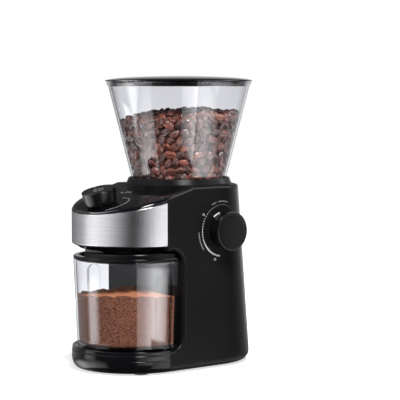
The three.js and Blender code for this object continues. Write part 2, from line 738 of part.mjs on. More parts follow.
// ---- motor --------------------------------------------------------------------------------
function motor() {
  const canProfile = [[8, 103.3], [29.3, 103.3], [29.3, 42], [31, 42], [31, 105], [8, 105]];
  add("motor_can", turned(canProfile, 28, 0, MOTOR_Y), steel);
  add("motor_end_cap", tube(3.4, 31, 38, 41.7, 28, 0, MOTOR_Y), innerPlastic);
  add("motor_mount_ring", tube(20, 30, 105.3, 108.2, 24, 0, MOTOR_Y), rubber);
  const poles = [0, 180].map((mid) => sector(MOTOR_Y, 25.2, 28.6, 56, 94, mid - 50, mid + 50, 8));
  add("motor_stator", join(tube(27.2, 29, 56, 94, 28, 0, MOTOR_Y), ...poles), steel);
  const bore = arc(0, 0, 3.3, 0, 337.5, 15);
  const centreBore = turnOutline(bore, 0, 0, MOTOR_Y);
  const core = turnOutline(paddleOutline(7, 11.5, 24.6, 8), 0, 0, MOTOR_Y);
  add("rotor_core", prism(core, 56, 94, [centreBore]), steel);
  add("rotor_shaft", rod(3, 30, 122.2, 16, 0, MOTOR_Y), steel);
  add("commutator", tube(3.3, 9, 44, 54, 20, 0, MOTOR_Y), copper);
  add("brush_front", box(-2.5, 2.5, MOTOR_Y - 22, MOTOR_Y - 9.4, 46, 52), graphite);
  add("brush_rear", box(-2.5, 2.5, MOTOR_Y + 9.4, MOTOR_Y + 22, 46, 52), graphite);
  const fan = turnOutline(paddleOutline(9, 7, 26, 2), 0, 0, MOTOR_Y);
  add("cooling_fan", prism(fan, 29, 37, [centreBore]), gearNylon);
  const toIdler = Math.atan2(IDLER_Y - MOTOR_Y, IDLER_X);
  const pinion = prism(
    turnOutline(gearOutline(PINION_TEETH, GEAR_MODULE), toIdler, 0, MOTOR_Y),
    LOWER_GEAR_Z,
    LOWER_GEAR_Z + GEAR_FACE,
    [centreBore],
  );
  add("motor_pinion", pinion, steel);
}

// ---- grind dial ---------------------------------------------------------------------------
function dial() {
  const group = new THREE.Group();
  group.position.set(0, DIAL_Y, DIAL_Z);
  group.rotation.y = Math.PI / 2;
  grinder.add(group);
  const face = BODY_R + KNOB_OUT;
  const knob = turned(
    [[0, face - 0.8], [14, face - 0.5], [KNOB_R - 1, face], [KNOB_R, face - 1.2], [19.4, BODY_R + 0.8],
      [17, BODY_R + 0.8], [18.5, face - 4], [6.5, face - 4], [6.5, BODY_R + 1.5], [4.3, BODY_R + 1.5],
      [4.3, face - 5.5], [0, face - 5.5]],
    28,
  );
  add("grind_knob", knob, satinBlack, group);
  add("adjust_shaft", rod(4, 36, face - 5.8, 20), steel, group);
  add("shaft_bushing", turned([[4.3, 61], [8.2, 61], [8.2, 68.5], [4.3, 68.5]], 24), gearNylon, group);
  const toothModule = (2 * ADJUST_PITCH_R) / ADJUST_TEETH;
  const pinion = prism(
    gearOutline(ADJUST_TEETH, toothModule),
    CROWN_R - 2.6,
    CROWN_R + 2.6,
    [arc(0, 0, 4.3, 0, 340, 17)],
  );
  add("adjust_pinion", pinion, gearNylon, group);
}

// ---- selector on the deck -----------------------------------------------------------------
function selector() {
  const group = new THREE.Group();
  group.position.set(0, SELECTOR_Y, deckHeight(SELECTOR_Y));
  group.rotation.x = DECK_TILT;
  grinder.add(group);
  const foot = SELECTOR_LIFT;
  const top = foot + SELECTOR_HEIGHT;
  const knob = turned(
    [[0, top], [SELECTOR_R - 1.2, top], [SELECTOR_R, top - 1.2], [SELECTOR_R - 1.5, foot], [15.5, foot],
      [16.5, top - 3], [6, top - 3], [6, foot + 1], [3.3, foot + 1], [3.3, top - 4.5], [0, top - 4.5]],
    28,
  );
  add("selector_knob", knob, satinBlack, group);
  add("selector_stem", rod(3, -24, top - 4.8, 20), steel, group);
  const body = (x, y, z0, z1, radius) => cut(box(-x, x, -y, y, z0, z1), rod(radius, z0 - 1, z1 + 1, 20));
  add("selector_switch", body(9, 9, -20, -10, 3.4), printed, group);
  add("switch_bracket", body(22, 10, -9.6, -7.8, 3.6), steel, group);
  add("start_switch", box(-5, 5, -5, 5, -34, -26.2), printed, group);
}

// ---- electronics --------------------------------------------------------------------------
function electronics() {
  const relay = box(-54.6, -40, 12, 27, 60, 76);
  const choke = box(-54.6, -42, 30, 46, 64, 84);
  add("circuit_board", join(box(-56, -54.4, 2, 52, 36, 92), relay, choke), board);
  add("hopper_switch", box(-14, 2, -31, -24.6, 168, 179), printed);
  const angle = THREE.MathUtils.degToRad(PIN_ANGLE);
  const pin = rod(1.6, 181, PIN_TOP, 16, PIN_R * Math.cos(angle), BURR_Y + PIN_R * Math.sin(angle));
  add("interlock_pin", pin, gearNylon);
}

casing();
hopper();
jar();
burrs();
gearbox();
motor();
dial();
selector();
electronics();

export default grinder;
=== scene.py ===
"""Burr coffee grinder: the visible surfaces, materials, coffee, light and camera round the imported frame.

Shapes are worked out in millimetres and turned into metres where a mesh is made."""
import json
import math

import bmesh
import bpy
import numpy as np
from mathutils import Matrix, Vector, noise

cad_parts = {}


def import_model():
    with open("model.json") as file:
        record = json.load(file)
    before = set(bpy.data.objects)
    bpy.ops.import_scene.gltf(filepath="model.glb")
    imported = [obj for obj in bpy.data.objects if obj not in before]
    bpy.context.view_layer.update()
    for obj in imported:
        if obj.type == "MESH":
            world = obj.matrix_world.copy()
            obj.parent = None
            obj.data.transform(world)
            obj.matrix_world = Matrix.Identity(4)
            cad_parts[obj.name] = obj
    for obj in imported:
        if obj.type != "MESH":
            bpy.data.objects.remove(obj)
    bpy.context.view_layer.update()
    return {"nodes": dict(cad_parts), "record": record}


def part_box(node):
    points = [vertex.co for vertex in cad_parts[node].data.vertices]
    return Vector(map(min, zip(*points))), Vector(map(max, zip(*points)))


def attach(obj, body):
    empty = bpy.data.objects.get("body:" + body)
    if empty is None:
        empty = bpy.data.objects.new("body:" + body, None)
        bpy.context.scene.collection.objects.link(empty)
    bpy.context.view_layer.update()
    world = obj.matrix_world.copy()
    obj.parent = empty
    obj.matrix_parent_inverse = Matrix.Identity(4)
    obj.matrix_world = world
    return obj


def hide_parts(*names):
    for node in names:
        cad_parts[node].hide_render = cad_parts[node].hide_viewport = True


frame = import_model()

MM = 0.001
SEED = 11


def extent(node):
    """Lowest and highest corner of a CAD node, in millimetres."""
    low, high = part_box(node)
    return low / MM, high / MM


# ---- driving dimensions: millimetres, and degrees where not turned into radians -----------
SHELL_LOW, SHELL_HIGH = extent("body_shell")
DECK_LOW = extent("top_deck")[0]
BAND_LOW, BAND_HIGH = extent("front_band")
LID_LOW, LID_HIGH = extent("hopper_lid")
JAR_LOW, JAR_HIGH = extent("jar")
KNOB_LOW, KNOB_HIGH = extent("grind_knob")
BASE_HIGH = extent("base_front")[1]
GLAND_LOW = extent("cord_gland")[0]

GAP = 0.3
WALL = 2.6
BODY_R = SHELL_HIGH.x
BODY_FOOT = SHELL_LOW.z
BODY_TOP = SHELL_HIGH.z
NOSE_Y = DECK_LOW.y + BODY_R
FORE = NOSE_Y - 2 * BODY_R  # cutting blocks start ahead of the nose here,
BEYOND = BODY_R + 12        # reach past each side,
ABOVE = 240                 # and reach over the casing
FINE = 160                  # segments round the large turned pieces
REAR_Y = 40.7
LEAN_Z = 22.0   # height at which the back's centre is at REAR_Y
LEAN = -0.0907  # shift of that centre for each unit of height
SIDE_ROUND = 7.0
REAR_ROUND = 12.0
TOP_ROUND = 3.6

DECK_FRONT_Y = DECK_LOW.y
DECK_FRONT_Z = 179.5
DECK_TILT = math.radians(15.2)
DECK_SLOPE = math.tan(DECK_TILT)
DECK_EDGE = 3.4
DECK_CROWN = 0.9
DECK_ROLL = 1.6
CREASE_Y = DECK_FRONT_Y + (BODY_TOP - DECK_FRONT_Z) / DECK_SLOPE

BAND_BOTTOM = BAND_LOW.z
BAND_REAR_Y = BAND_HIGH.y
BAND_FRONT_TOP = 177.0
BAND_SLOPE = 0.2137  # rise of the band's top towards the back
BAND_THICK = 1.2

CEILING_Z = 137.0
PLATEAU_Z = BASE_HIGH.z
BAY_BACK_Y = -25.0
BAY_CORNER = 18.0
BAY_LIP = 3.8
LINING_HALF = 66.9
BASE_R = BASE_HIGH.x
BASE_SEAM_Y = BASE_HIGH.y
BASE_LIP_Z = 27.2
CORD_Z = 28.0

BURR_Y = (LID_LOW.y + LID_HIGH.y) / 2
LID_R = LID_HIGH.x
LID_TOP = LID_HIGH.z
HOPPER_TOP = extent("hopper")[1].z
BAYONETS = (50, 170, 290)  # degrees round the burrs' axis
COLLAR_HOLE_R = 61.2
COLLAR_TOP = 214.1
CONE_FOOT_R = 52.5
CONE_FOOT_Z = 214.3
CONE_HEAD_R = 78.4
CONE_HEAD_Z = 318.0
BEAN_PITCH = 10.2
BEAN_ROW = 8.6
BEAN_ROWS = 11
BEANS_FOOT = 206
BEANS_TOP = 283.5
BEANS_MOUND = 8

JAR_FOOT = JAR_LOW.z
JAR_RIM = JAR_HIGH.z
JAR_R_RIM = JAR_HIGH.x
JAR_R_FOOT = 63.7
JAR_BACK = JAR_HIGH.y - NOSE_Y
JAR_CORNER = 4.0
JAR_WALL = 2.4
JAR_FLOOR = 4.0
JAR_LID_TOP = extent("jar_lid")[1].z
FLUTE_Y = -48.5
FLUTE_HALF = 9.8
FLUTE_TOP = 113.0
FLUTE_DEPTH = 1.5
FLUTE_EDGE = 0.9
FLUTE_ARCH = 8.0
FLUTE_SIDE = 40  # only points further out than this are pressed in
GROUNDS_TOP = 85.5
GROUNDS_MOUND = 6.5

DIAL_Y = (KNOB_LOW.y + KNOB_HIGH.y) / 2
DIAL_Z = (KNOB_LOW.z + KNOB_HIGH.z) / 2
KNOB_R = KNOB_HIGH.z - DIAL_Z
KNOB_FACE = KNOB_HIGH.x
KNOB_POINTER = 103  # degrees from the rear
KNOB_FLUTES = 11
SELECTOR_Y = -85.3
SELECTOR_R = 19.5
SELECTOR_FOOT = 2.8
SELECTOR_TOP = SELECTOR_FOOT + 15.6
SELECTOR_DISH = 0.5

VIEW_AZIMUTH = math.radians(51.748)
EYE_M = (1.49244, -1.21722, 0.31695)
PANEL_DISTANCE = 1500
LAMP_DISTANCE_M = 1.5


# ---- camera --------------------------------------------------------------------------------
def camera():
    """The photograph's view: right of the front, a little above, with a long lens."""
    heading = VIEW_AZIMUTH - 0.03956
    pitch = 0.0667
    data = bpy.data.cameras.new("camera")
    data.sensor_width = 36.0
    data.lens = 151.73
    data.clip_start = 0.05
    data.clip_end = 50.0
    eye = linked("camera", data)
    away = Vector((-math.sin(heading), math.cos(heading), 0.0))
    right = Vector((math.cos(heading), math.sin(heading), 0.0))
    up = Vector((0.0, 0.0, 1.0))
    look = away * math.cos(pitch) - up * math.sin(pitch)
    top = up * math.cos(pitch) + away * math.sin(pitch)
    turn = Matrix((right, top, -look)).transposed().to_4x4()
    eye.matrix_world = Matrix.Translation(EYE_M) @ turn
    bpy.context.scene.camera = eye


# ---- outlines ------------------------------------------------------------------------------
def arc(cx, cy, radius, start, end, steps):
    """Points on an arc, with its angles in degrees."""
    angles = np.radians(np.linspace(start, end, steps + 1))
    return [(cx + radius * math.cos(t), cy + radius * math.sin(t)) for t in angles]


def rounded(points, radius, closed=True, step=12.0):
    """The outline with its corners eased by arcs. A third number in a point is that corner's own radius."""
    out = []
    for i, point in enumerate(points):
        here = Vector(point[:2])
        own = point[2] if len(point) > 2 else radius
        if not closed and i in (0, len(points) - 1):
            own = 0.0
        to_last = Vector(points[i - 1][:2]) - here
        to_next = Vector(points[(i + 1) % len(points)][:2]) - here
        angle = to_last.angle(to_next) if own > 0 else math.pi
        if math.pi - angle < 0.03:
            out.append((here.x, here.y))
            continue
        room = 0.48 * min(to_last.length, to_next.length)
        cut = min(own / math.tan(angle / 2), room)
        inward = (to_last.normalized() + to_next.normalized()).normalized()
        centre = here + inward * (cut / math.cos(angle / 2))
        first = here + to_last.normalized() * cut - centre
        last = here + to_next.normalized() * cut - centre
        steps = max(2, math.ceil(math.degrees(math.pi - angle) / step))
        turn = first.angle_signed(last)
        for k in range(steps + 1):
            spoke = first.copy()
            spoke.rotate(Matrix.Rotation(-turn * k / steps, 2))
            out.append((centre.x + spoke.x, centre.y + spoke.y))
    return out


def quarter(radius, steps=7):
    """Inset and drop along a rounded edge, from its flat side to its upright side."""
    angles = np.linspace(0, math.pi / 2, steps + 1)
    return [(radius * (1 - math.sin(t)), radius * (1 - math.cos(t))) for t in angles]


def rear_centre(z):
    return REAR_Y + LEAN * (z - LEAN_Z)


def deck_height(y):
    return DECK_FRONT_Z + DECK_SLOPE * (y - DECK_FRONT_Y)


def band_height(y):
    return BAND_FRONT_TOP + BAND_SLOPE * (y - DECK_FRONT_Y)


def stadium(inset, rear_y, steps=72):
    """Plan of the body: a half round nose, straight sides and a half round back."""
    radius = BODY_R - inset
    nose = arc(0, NOSE_Y, radius, 180, 360, steps)
    return nose + arc(0, rear_y, radius, 0, 180, steps)


def bay_outline(grow, radius):
    """Jar bay from the side, open towards the front, as points in Y and Z."""
    back = BAY_BACK_Y + grow
    low = PLATEAU_Z - 0.1 - grow
    high = CEILING_Z + grow
    lower = arc(back - radius, low + radius, radius, -90, 0, 14)
    upper = arc(back - radius, high - radius, radius, 0, 90, 14)
    return [(FORE, low)] + lower + upper + [(FORE, high)]


def jar_plan(inset, steps=120):
    """Plan of the jar and its lid: round front, straight sides and a flat back with round corners.

    Points lie closer together along the grip recesses in the sides."""
    radius = JAR_R_RIM - inset
    back = NOSE_Y + JAR_BACK - inset
    corner = max(JAR_CORNER - inset, 0.8)
    front = arc(0, NOSE_Y, radius, 202, 338, steps)
    grip = arc(0, NOSE_Y, radius, 338, 360, steps // 2)[1:]
    side = [(radius, y) for y in np.linspace(NOSE_Y, back - corner, steps // 8)[1:-1]]
    right = grip + side + arc(radius - corner, back - corner, corner, 0, 90, 8)
    left = [(-x, y) for x, y in reversed(right)]
    return front + right + left


# ---- mesh making ---------------------------------------------------------------------------
def linked(name, data):
    """A new object in the scene."""
    made = bpy.data.objects.new(name, data)
    bpy.context.scene.collection.objects.link(made)
    return made


def mesh_object(name, points, faces):
    """A new object from points in millimetres, with its faces turned outwards."""
    mesh = bpy.data.meshes.new(name)
    mesh.from_pydata([Vector(p) * MM for p in points], [], faces)
    edit = bmesh.new()
    edit.from_mesh(mesh)
    bmesh.ops.recalc_face_normals(edit, faces=edit.faces)
    edit.to_mesh(mesh)
    edit.free()
    return linked(name, mesh)


def point_values(piece, name, values):
    """Store a number for each point, for a material to read."""
    layer = piece.data.attributes.new(name, "FLOAT", "POINT")
    layer.data.foreach_set("value", np.array(values, np.float32))


def skin(rings, looped=False):
    """Faces between rings of equal length, capped at both ends unless the rings close on themselves."""
    count = len(rings[0])
    faces = []
    for k in range(len(rings) if looped else len(rings) - 1):
        base = k * count
        above = (k + 1) % len(rings) * count
        for i in range(count):
            j = (i + 1) % count
            faces.append((base + i, base + j, above + j, above + i))
    if not looped:
        faces.append(tuple(range(count - 1, -1, -1)))
        faces.append(tuple(range((len(rings) - 1) * count, len(rings) * count)))
    return faces


def loft(name, rings, looped=False):
    return mesh_object(name, [p for ring in rings for p in ring], skin(rings, looped))


def prism(name, plan, levels):
    """Upright solid: the plan at a lower and an upper level."""
    return loft(name, [[(x, y, z) for x, y in plan] for z in levels])


def turned(name, profile, segments=96, x=0.0, y=0.0):
    """A closed profile of radius and height turned round an upright axis."""
    points = []
    rows = []
    for radius, z in profile:
        if radius < 1e-6:
            rows.append([len(points)] * segments)
            points.append((x, y, z))
            continue
        rows.append(list(range(len(points), len(points) + segments)))
        for k in range(segments):
            angle = 2 * math.pi * k / segments
            points.append((x + radius * math.cos(angle), y + radius * math.sin(angle), z))
    faces = []
    for near, far in zip(rows, rows[1:] + rows[:1]):
        for i in range(segments):
            j = (i + 1) % segments
            face = list(dict.fromkeys((near[i], near[j], far[j], far[i])))
            if len(face) > 2:
                faces.append(face)
    return mesh_object(name, points, faces)


def block(x0, x1, outline):
    """Outline in Y and Z, from x0 to x1."""
    return loft("block", [[(x, y, z) for y, z in outline] for x in (x0, x1)])


def across(outline):
    """Outline in Y and Z, right across the body."""
    return block(-BEYOND, BEYOND, outline)


def rectangle(y0, y1, z0, z1):
    return [(y0, z0), (y1, z0), (y1, z1), (y0, z1)]


def rod(radius, start, end, segments=64):
    """Cylinder between two points."""
    start, end = Vector(start), Vector(end)
    along = (end - start).normalized()
    side = along.orthogonal().normalized()
    other = along.cross(side)
    rings = []
    for centre in (start, end):
        angles = [2 * math.pi * k / segments for k in range(segments)]
        rings.append([centre + radius * (side * math.cos(t) + other * math.sin(t)) for t in angles])
    return loft("rod", rings)


def settled_mesh(source):
    """The mesh that an object comes to with its modifiers or curve settings applied."""
    settled = source.evaluated_get(bpy.context.evaluated_depsgraph_get())
    return bpy.data.meshes.new_from_object(settled)


def carve(target, *tools, operation="DIFFERENCE"):
    """Cut each tool from the target, or join it on, and remove the tools."""
    for tool in tools:
        modifier = target.modifiers.new("carve", "BOOLEAN")
        modifier.operation = operation
        modifier.solver = "EXACT"
        modifier.object = tool
    bpy.context.view_layer.update()
    mesh = settled_mesh(target)
    target.modifiers.clear()
    target.data = mesh
    for tool in tools:
        bpy.data.objects.remove(tool)
    target.data.validate()
    return target


def placed(target, matrix):
    """Move the mesh itself, with the matrix in millimetres."""
    scaled = matrix.copy()
    scaled.translation = matrix.translation * MM
    target.data.transform(scaled)
    return target


def merged(name, parts):
    """One object from several."""
    edit = bmesh.new()
    for part in parts:
        edit.from_mesh(part.data)
    mesh = bpy.data.meshes.new(name)
    edit.to_mesh(mesh)
    edit.free()
    for part in parts:
        bpy.data.objects.remove(part)
    return linked(name, mesh)


def dress(piece, finish, body, stands_for=(), crease=32.0):
    """Finish, smooth shading and body for a piece, with the CAD nodes that it stands for hidden."""
    piece.data.materials.clear()
    piece.data.materials.append(finish)
    piece.data.shade_smooth()
    piece.data.set_sharp_from_angle(angle=math.radians(crease))
    weighted = piece.modifiers.new("weighted", "WEIGHTED_NORMAL")
    weighted.keep_sharp = True
    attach(piece, body)
    if stands_for:
        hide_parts(*stands_for)
    return piece


# ---- materials -----------------------------------------------------------------------------
def new_material(name):
    material = bpy.data.materials.new(name)
    material.use_nodes = True
    tree = material.node_tree
    return material, tree, tree.nodes["Principled BSDF"]


def feed(made, inputs):
    """Give a node's inputs, by name or number, a constant or the link from another node's output."""
    for key, value in inputs.items():
        if isinstance(value, bpy.types.NodeSocket):
            made.id_data.links.new(value, made.inputs[key])
        else:
            made.inputs[key].default_value = value


def node(tree, kind, inputs=None, **settings):
    made = tree.nodes.new("ShaderNode" + kind)
    for key, value in settings.items():
        setattr(made, key, value)
    feed(made, inputs or {})
    return made


def stored(tree, name):
    """The value stored for each point under a name."""
    return node(tree, "Attribute", attribute_name=name).outputs["Fac"]


def mixed(tree, share, first, second, **settings):
    """Two colours mixed by a share."""
    inputs = {0: share, 6: first, 7: second}
    return node(tree, "Mix", inputs, data_type="RGBA", **settings).outputs[2]


def show(tree, shader):
    feed(tree.nodes["Material Output"], {"Surface": shader.outputs[0]})


def pattern(tree, scale, stretch=(1, 1, 1), detail=4.0, kind="TexNoise"):
    """Noise in object space. A larger stretch number packs the noise closer along that axis."""
    place = node(tree, "TexCoord").outputs["Object"]
    spread = node(tree, "Mapping", {"Scale": stretch, "Vector": place}).outputs["Vector"]
    texture = node(tree, kind, {"Scale": scale, "Vector": spread})
    if "Detail" in texture.inputs:
        texture.inputs["Detail"].default_value = detail
    return texture


def ramp(tree, source, stops):
    """Colour ramp through (position, colour) stops."""
    made = node(tree, "ValToRGB", {"Fac": source})
    elements = made.color_ramp.elements
    while len(elements) < len(stops):
        elements.new(0.5)
    for element, (position, colour) in zip(elements, stops):
        element.position = position
        element.color = (*colour, 1.0)
    return made.outputs["Color"]


def ranged(tree, source, low, high):
    """A value from 0 to 1 spread from low to high."""
    return node(tree, "MapRange", {"To Min": low, "To Max": high, "Value": source}).outputs["Result"]


def relief(tree, shader, source, strength, depth_mm):
    inputs = {"Strength": strength, "Distance": depth_mm * MM, "Height": source}
    feed(shader, {"Normal": node(tree, "Bump", inputs).outputs["Normal"]})


def drifting(tree, source, colour, drift):
    """The colour, darker and lighter by a share as the source goes."""
    low, high = (tuple(c * amount for c in colour) for amount in (1 - drift, 1 + drift))
    return ramp(tree, source, [(0.3, low), (0.7, high)])


def moulded(name, colour, roughness, specular=0.5, grain=1400, depth=0.02, strength=0.25, spread=0.04):
    """Moulded plastic or rubber: faint drift in colour and gloss, and a fine skin."""
    material, tree, shader = new_material(name)
    drift = pattern(tree, 22, detail=3).outputs["Fac"]
    feed(shader, {
        "Specular IOR Level": specular,
        "Base Color": drifting(tree, drift, colour, 0.12),
        "Roughness": ranged(tree, drift, roughness - spread, roughness + spread),
    })
    relief(tree, shader, pattern(tree, grain, detail=2).outputs["Fac"], strength, depth)
    return material


def metal(name, colour, roughness, stretch, depth=0.01, spread=0.08):
    """Brushed, ground or turned metal: streaks along the axis with the smallest stretch."""
    material, tree, shader = new_material(name)
    streaks = pattern(tree, 1.0, stretch=stretch, detail=6).outputs["Fac"]
    feed(shader, {
        "Metallic": 1.0,
        "Base Color": drifting(tree, streaks, colour, 0.1),
        "Roughness": ranged(tree, streaks, roughness - spread, roughness + spread),
    })
    relief(tree, shader, streaks, 0.3, depth)
    return material


def clear_plastic():
    """Clear moulding with a polished skin; its see-through colour is darkened edge on and along the steep
    edges of the jar's recesses, painted shade for the light that these walls bend away.
    """
    material, tree, shader = new_material("clear_plastic")
    haze = pattern(tree, 30, detail=2).outputs["Fac"]
    tone = ramp(tree, haze, [(0.3, (0.93, 0.94, 0.96)), (0.7, (1.0, 1.0, 1.0))])
    feed(shader, {"Roughness": 0.02, "Metallic": 1.0, "Base Color": tone})
    facing = node(tree, "LayerWeight", {"Blend": 0.5}).outputs["Facing"]
    # Painted shade: the see-through tint below darkens edge on and where the stored step marks a steep recess
    # edge.
    edge = node(tree, "Math", {0: facing, 1: 7.0}, operation="POWER").outputs[0]
    dark = node(tree, "Math", {0: edge, 1: stored(tree, "step")}, operation="MAXIMUM").outputs[0]
    tint = ramp(tree, dark, [(0.0, (0.93, 0.932, 0.945)), (1.0, (0.05, 0.05, 0.07))])
    see = node(tree, "BsdfTransparent", {"Color": tint})
    mirror = node(tree, "Math", {0: facing, 1: 4.0}, operation="POWER").outputs[0]
    share = ranged(tree, mirror, 0.04, 0.32)
    show(tree, node(tree, "MixShader", {"Fac": share, 1: see.outputs[0], 2: shader.outputs[0]}))
    return material


def roasted():
    """Bean skin: each bean its own roast, darker in the crease as painted shade, with an oily sheen."""
    material, tree, shader = new_material("roasted_bean")
    fibre = pattern(tree, 420, detail=5).outputs["Fac"]
    roast = ramp(tree, stored(tree, "roast"), [
        (0.0, (0.05, 0.014, 0.010)), (0.5, (0.15, 0.043, 0.027)), (1.0, (0.42, 0.122, 0.064)),
    ])
    tone = ramp(tree, fibre, [(0.3, (0.55, 0.5, 0.5)), (0.7, (1.0, 1.0, 1.0))])
    streak = mixed(tree, 0.6, roast, tone, blend_type="MULTIPLY")
    # Painted shade: the crease is mixed towards near black.
    tone_with_crease_shade = mixed(tree, stored(tree, "crease"), streak, (0.016, 0.006, 0.004, 1))
    feed(shader, {
        "Specular IOR Level": 0.7,
        "Coat Weight": 0.5,
        "Coat Roughness": 0.16,
        "Base Color": tone_with_crease_shade,
        "Roughness": ranged(tree, fibre, 0.2, 0.42),
    })
    relief(tree, shader, fibre, 0.35, 0.12)
    return material


def ground():
    """Ground coffee: dark, reddish and light grains with a rough skin, its top painted lighter as painted
    light where light falls on it.
    """
    material, tree, shader = new_material("ground_coffee")
    grains = pattern(tree, 1450, kind="TexVoronoi")
    speck = node(tree, "SeparateColor", {0: grains.outputs["Color"]})
    # The grains' colour on the sides; the next ramp is the same grains painted lighter for the top, as
    # painted light where it is lit.
    pressed = ramp(tree, speck.outputs[0], [
        (0.0, (0.005, 0.002, 0.002)), (0.4, (0.025, 0.006, 0.004)), (0.8, (0.062, 0.016, 0.011)),
        (1.0, (0.34, 0.13, 0.07)),
    ])
    lit_top_grains = ramp(tree, speck.outputs[0], [
        (0.0, (0.04, 0.011, 0.006)), (0.5, (0.30, 0.082, 0.034)), (1.0, (0.9, 0.36, 0.17)),
    ])
    feed(shader, {
        "Specular IOR Level": 0.25,
        "Base Color": mixed(tree, stored(tree, "top"), pressed, lit_top_grains),
        "Roughness": ranged(tree, speck.outputs[1], 0.75, 0.95),
    })
    relief(tree, shader, grains.outputs["Distance"], 0.8, 0.6)
    return material


def solder_mask():
    """Green board lacquer over faint tracks."""
    material, tree, shader = new_material("circuit")
    tracks = pattern(tree, 160, kind="TexVoronoi").outputs["Distance"]
    tone = ramp(tree, tracks, [(0.1, (0.02, 0.11, 0.055)), (0.4, (0.03, 0.17, 0.08))])
    feed(shader, {"Base Color": tone, "Roughness": 0.4})
    relief(tree, shader, tracks, 0.3, 0.03)
    return material


# name: colour, roughness, and what differs from moulded()'s usual skin
POLISHED = {"grain": 60, "strength": 0.05, "spread": 0.02}
MOULDED = {
    "satin_black": ((0.0050, 0.0050, 0.0056), 0.3, {"specular": 0.07}),
    "control_black": ((0.0042, 0.0042, 0.0048), 0.22, {"specular": 0.2}),
    "gloss_black": ((0.003, 0.003, 0.004), 0.09, {"specular": 0.36, **POLISHED}),
    "base_black": ((0.0032, 0.0032, 0.0040), 0.13, {"specular": 0.16, **POLISHED}),
    "rubber": ((0.014, 0.014, 0.014), 0.8, {"specular": 0.3, "depth": 0.05}),
    "silicone": ((0.62, 0.61, 0.58), 0.6, {}),
    "inner_plastic": ((0.035, 0.036, 0.040), 0.55, {"depth": 0.04}),
    "nylon": ((0.74, 0.70, 0.60), 0.48, {}),
    "graphite": ((0.022, 0.022, 0.024), 0.6, {"depth": 0.05}),
    "switch_plastic": ((0.02, 0.02, 0.023), 0.4, {}),
    "print": ((0.80, 0.80, 0.82), 0.5, {"depth": 0.01}),
    "faint_print": ((0.30, 0.30, 0.31), 0.5, {"depth": 0.01}),
    # painted shade: near black for the solid in the middle of the bean heap
    "painted_shade_core": ((0.003, 0.003, 0.006), 0.8, {"specular": 0.1}),
}
# name: colour, roughness, stretch of the streaks, and what differs from metal()'s usual skin
METALS = {
    "stainless": ((0.66, 0.66, 0.69), 0.2, (14, 14, 2600), {"depth": 0.012, "spread": 0.05}),
    "steel": ((0.50, 0.50, 0.52), 0.32, (40, 40, 1800), {}),
    "burr_steel": ((0.36, 0.37, 0.39), 0.3, (300, 300, 300), {}),
    "copper": ((0.70, 0.33, 0.18), 0.3, (900, 900, 20), {}),
}


def finishes():
    """Every finish by its material slot, and those of the print and the coffee."""
    made = {
        "clear_plastic": clear_plastic(),
        "circuit": solder_mask(),
        "bean": roasted(),
        "grounds": ground(),
    }
    for name, (colour, roughness, more) in MOULDED.items():
        made[name] = moulded(name, colour, roughness, **more)
    for name, (colour, roughness, stretch, more) in METALS.items():
        made[name] = metal(name, colour, roughness, stretch, **more)
    return made


def dress_cad_nodes(finish):
    """The carried-over CAD nodes take the finish of their slot in the record."""
    for part in frame["record"]["subparts"]:
        piece = frame["nodes"][part["node"]]
        piece.data.materials.clear()
        piece.data.materials.append(finish[part["material_slot"]])


# ---- casing --------------------------------------------------------------------------------
def round_inset(height, radius):
    """How far a rounded lower edge stands in, at a height above its flat side."""
    return radius - math.sqrt(max(0.0, radius ** 2 - max(0.0, radius - height) ** 2))


def leaning_body(name, inset, foot, top, side_round, rear_round, top_round):
    """Solid with the body's plan and leaning back, its lower and upper edges rounded."""
    rises = [rear_round * (1 - math.cos(t)) for t in np.linspace(0, math.pi / 2, 11)]
    levels = [(foot + h, round_inset(h, side_round), round_inset(h, rear_round)) for h in rises]
    for edge, drop in reversed(quarter(top_round)):
        levels.append((top - drop, edge, edge))
    rings = []
    for z, side, rear in levels:
        plan = stadium(inset + side, rear_centre(z) - (rear - side))
        rings.append([(x, y, z) for x, y in plan])
    return loft(name, rings)


def bay_cutter():
    """The bay right through the body, flaring where it meets each side so that the edge is round."""
    inner = BODY_R - BAY_LIP
    stations = [(BEYOND, 0.5 + BAY_LIP)]
    for t in np.linspace(0, 1, 7):
        half = BODY_R - BAY_LIP * (1 - math.cos(t * math.pi / 2))
        grow = 0.5 + BAY_LIP - math.sqrt(max(0.0, BAY_LIP ** 2 - (half - inner) ** 2))
        stations.append((half, grow))
    stations += [(-half, grow) for half, grow in reversed(stations)]
    rings = [[(x, y, z) for y, z in bay_outline(grow, BAY_CORNER)] for x, grow in stations]
    return loft("bay", rings)


def collar_hole():
    return rod(COLLAR_HOLE_R, (0, BURR_Y, 180), (0, BURR_Y, 230), 128)


def body_shell():
    """Outer casing, open underneath, at the deck, at the nose and at the jar bay."""
    shell = leaning_body("body_shell_skin", 0, BODY_FOOT, BODY_TOP, SIDE_ROUND, REAR_ROUND, TOP_ROUND)
    foot = BODY_FOOT + WALL + 0.6
    cavity = leaning_body("cavity", WALL, foot, BODY_TOP - 3, 4.4, 9.4, 1.0)
    drop = 3.5
    above = across([
        (FORE, deck_height(FORE) - drop), (CREASE_Y, BODY_TOP - drop), (CREASE_Y, ABOVE), (FORE, ABOVE),
    ])
    nose = across(rectangle(FORE, BAND_REAR_Y + GAP, CEILING_Z - 5, ABOVE))
    base = across(rectangle(FORE, BASE_SEAM_Y + GAP, -5, CEILING_Z))
    under = prism("under", stadium(14, rear_centre(0)), (-5, foot + 2))
    dial_hole = rod(8.6, (50, DIAL_Y, DIAL_Z), (90, DIAL_Y, DIAL_Z), 48)
    cord_hole = rod(7.1, (0, 90, CORD_Z), (0, 130, CORD_Z), 48)
    return carve(shell, cavity, above, nose, base, bay_cutter(), collar_hole(), under, dial_hole, cord_hole)


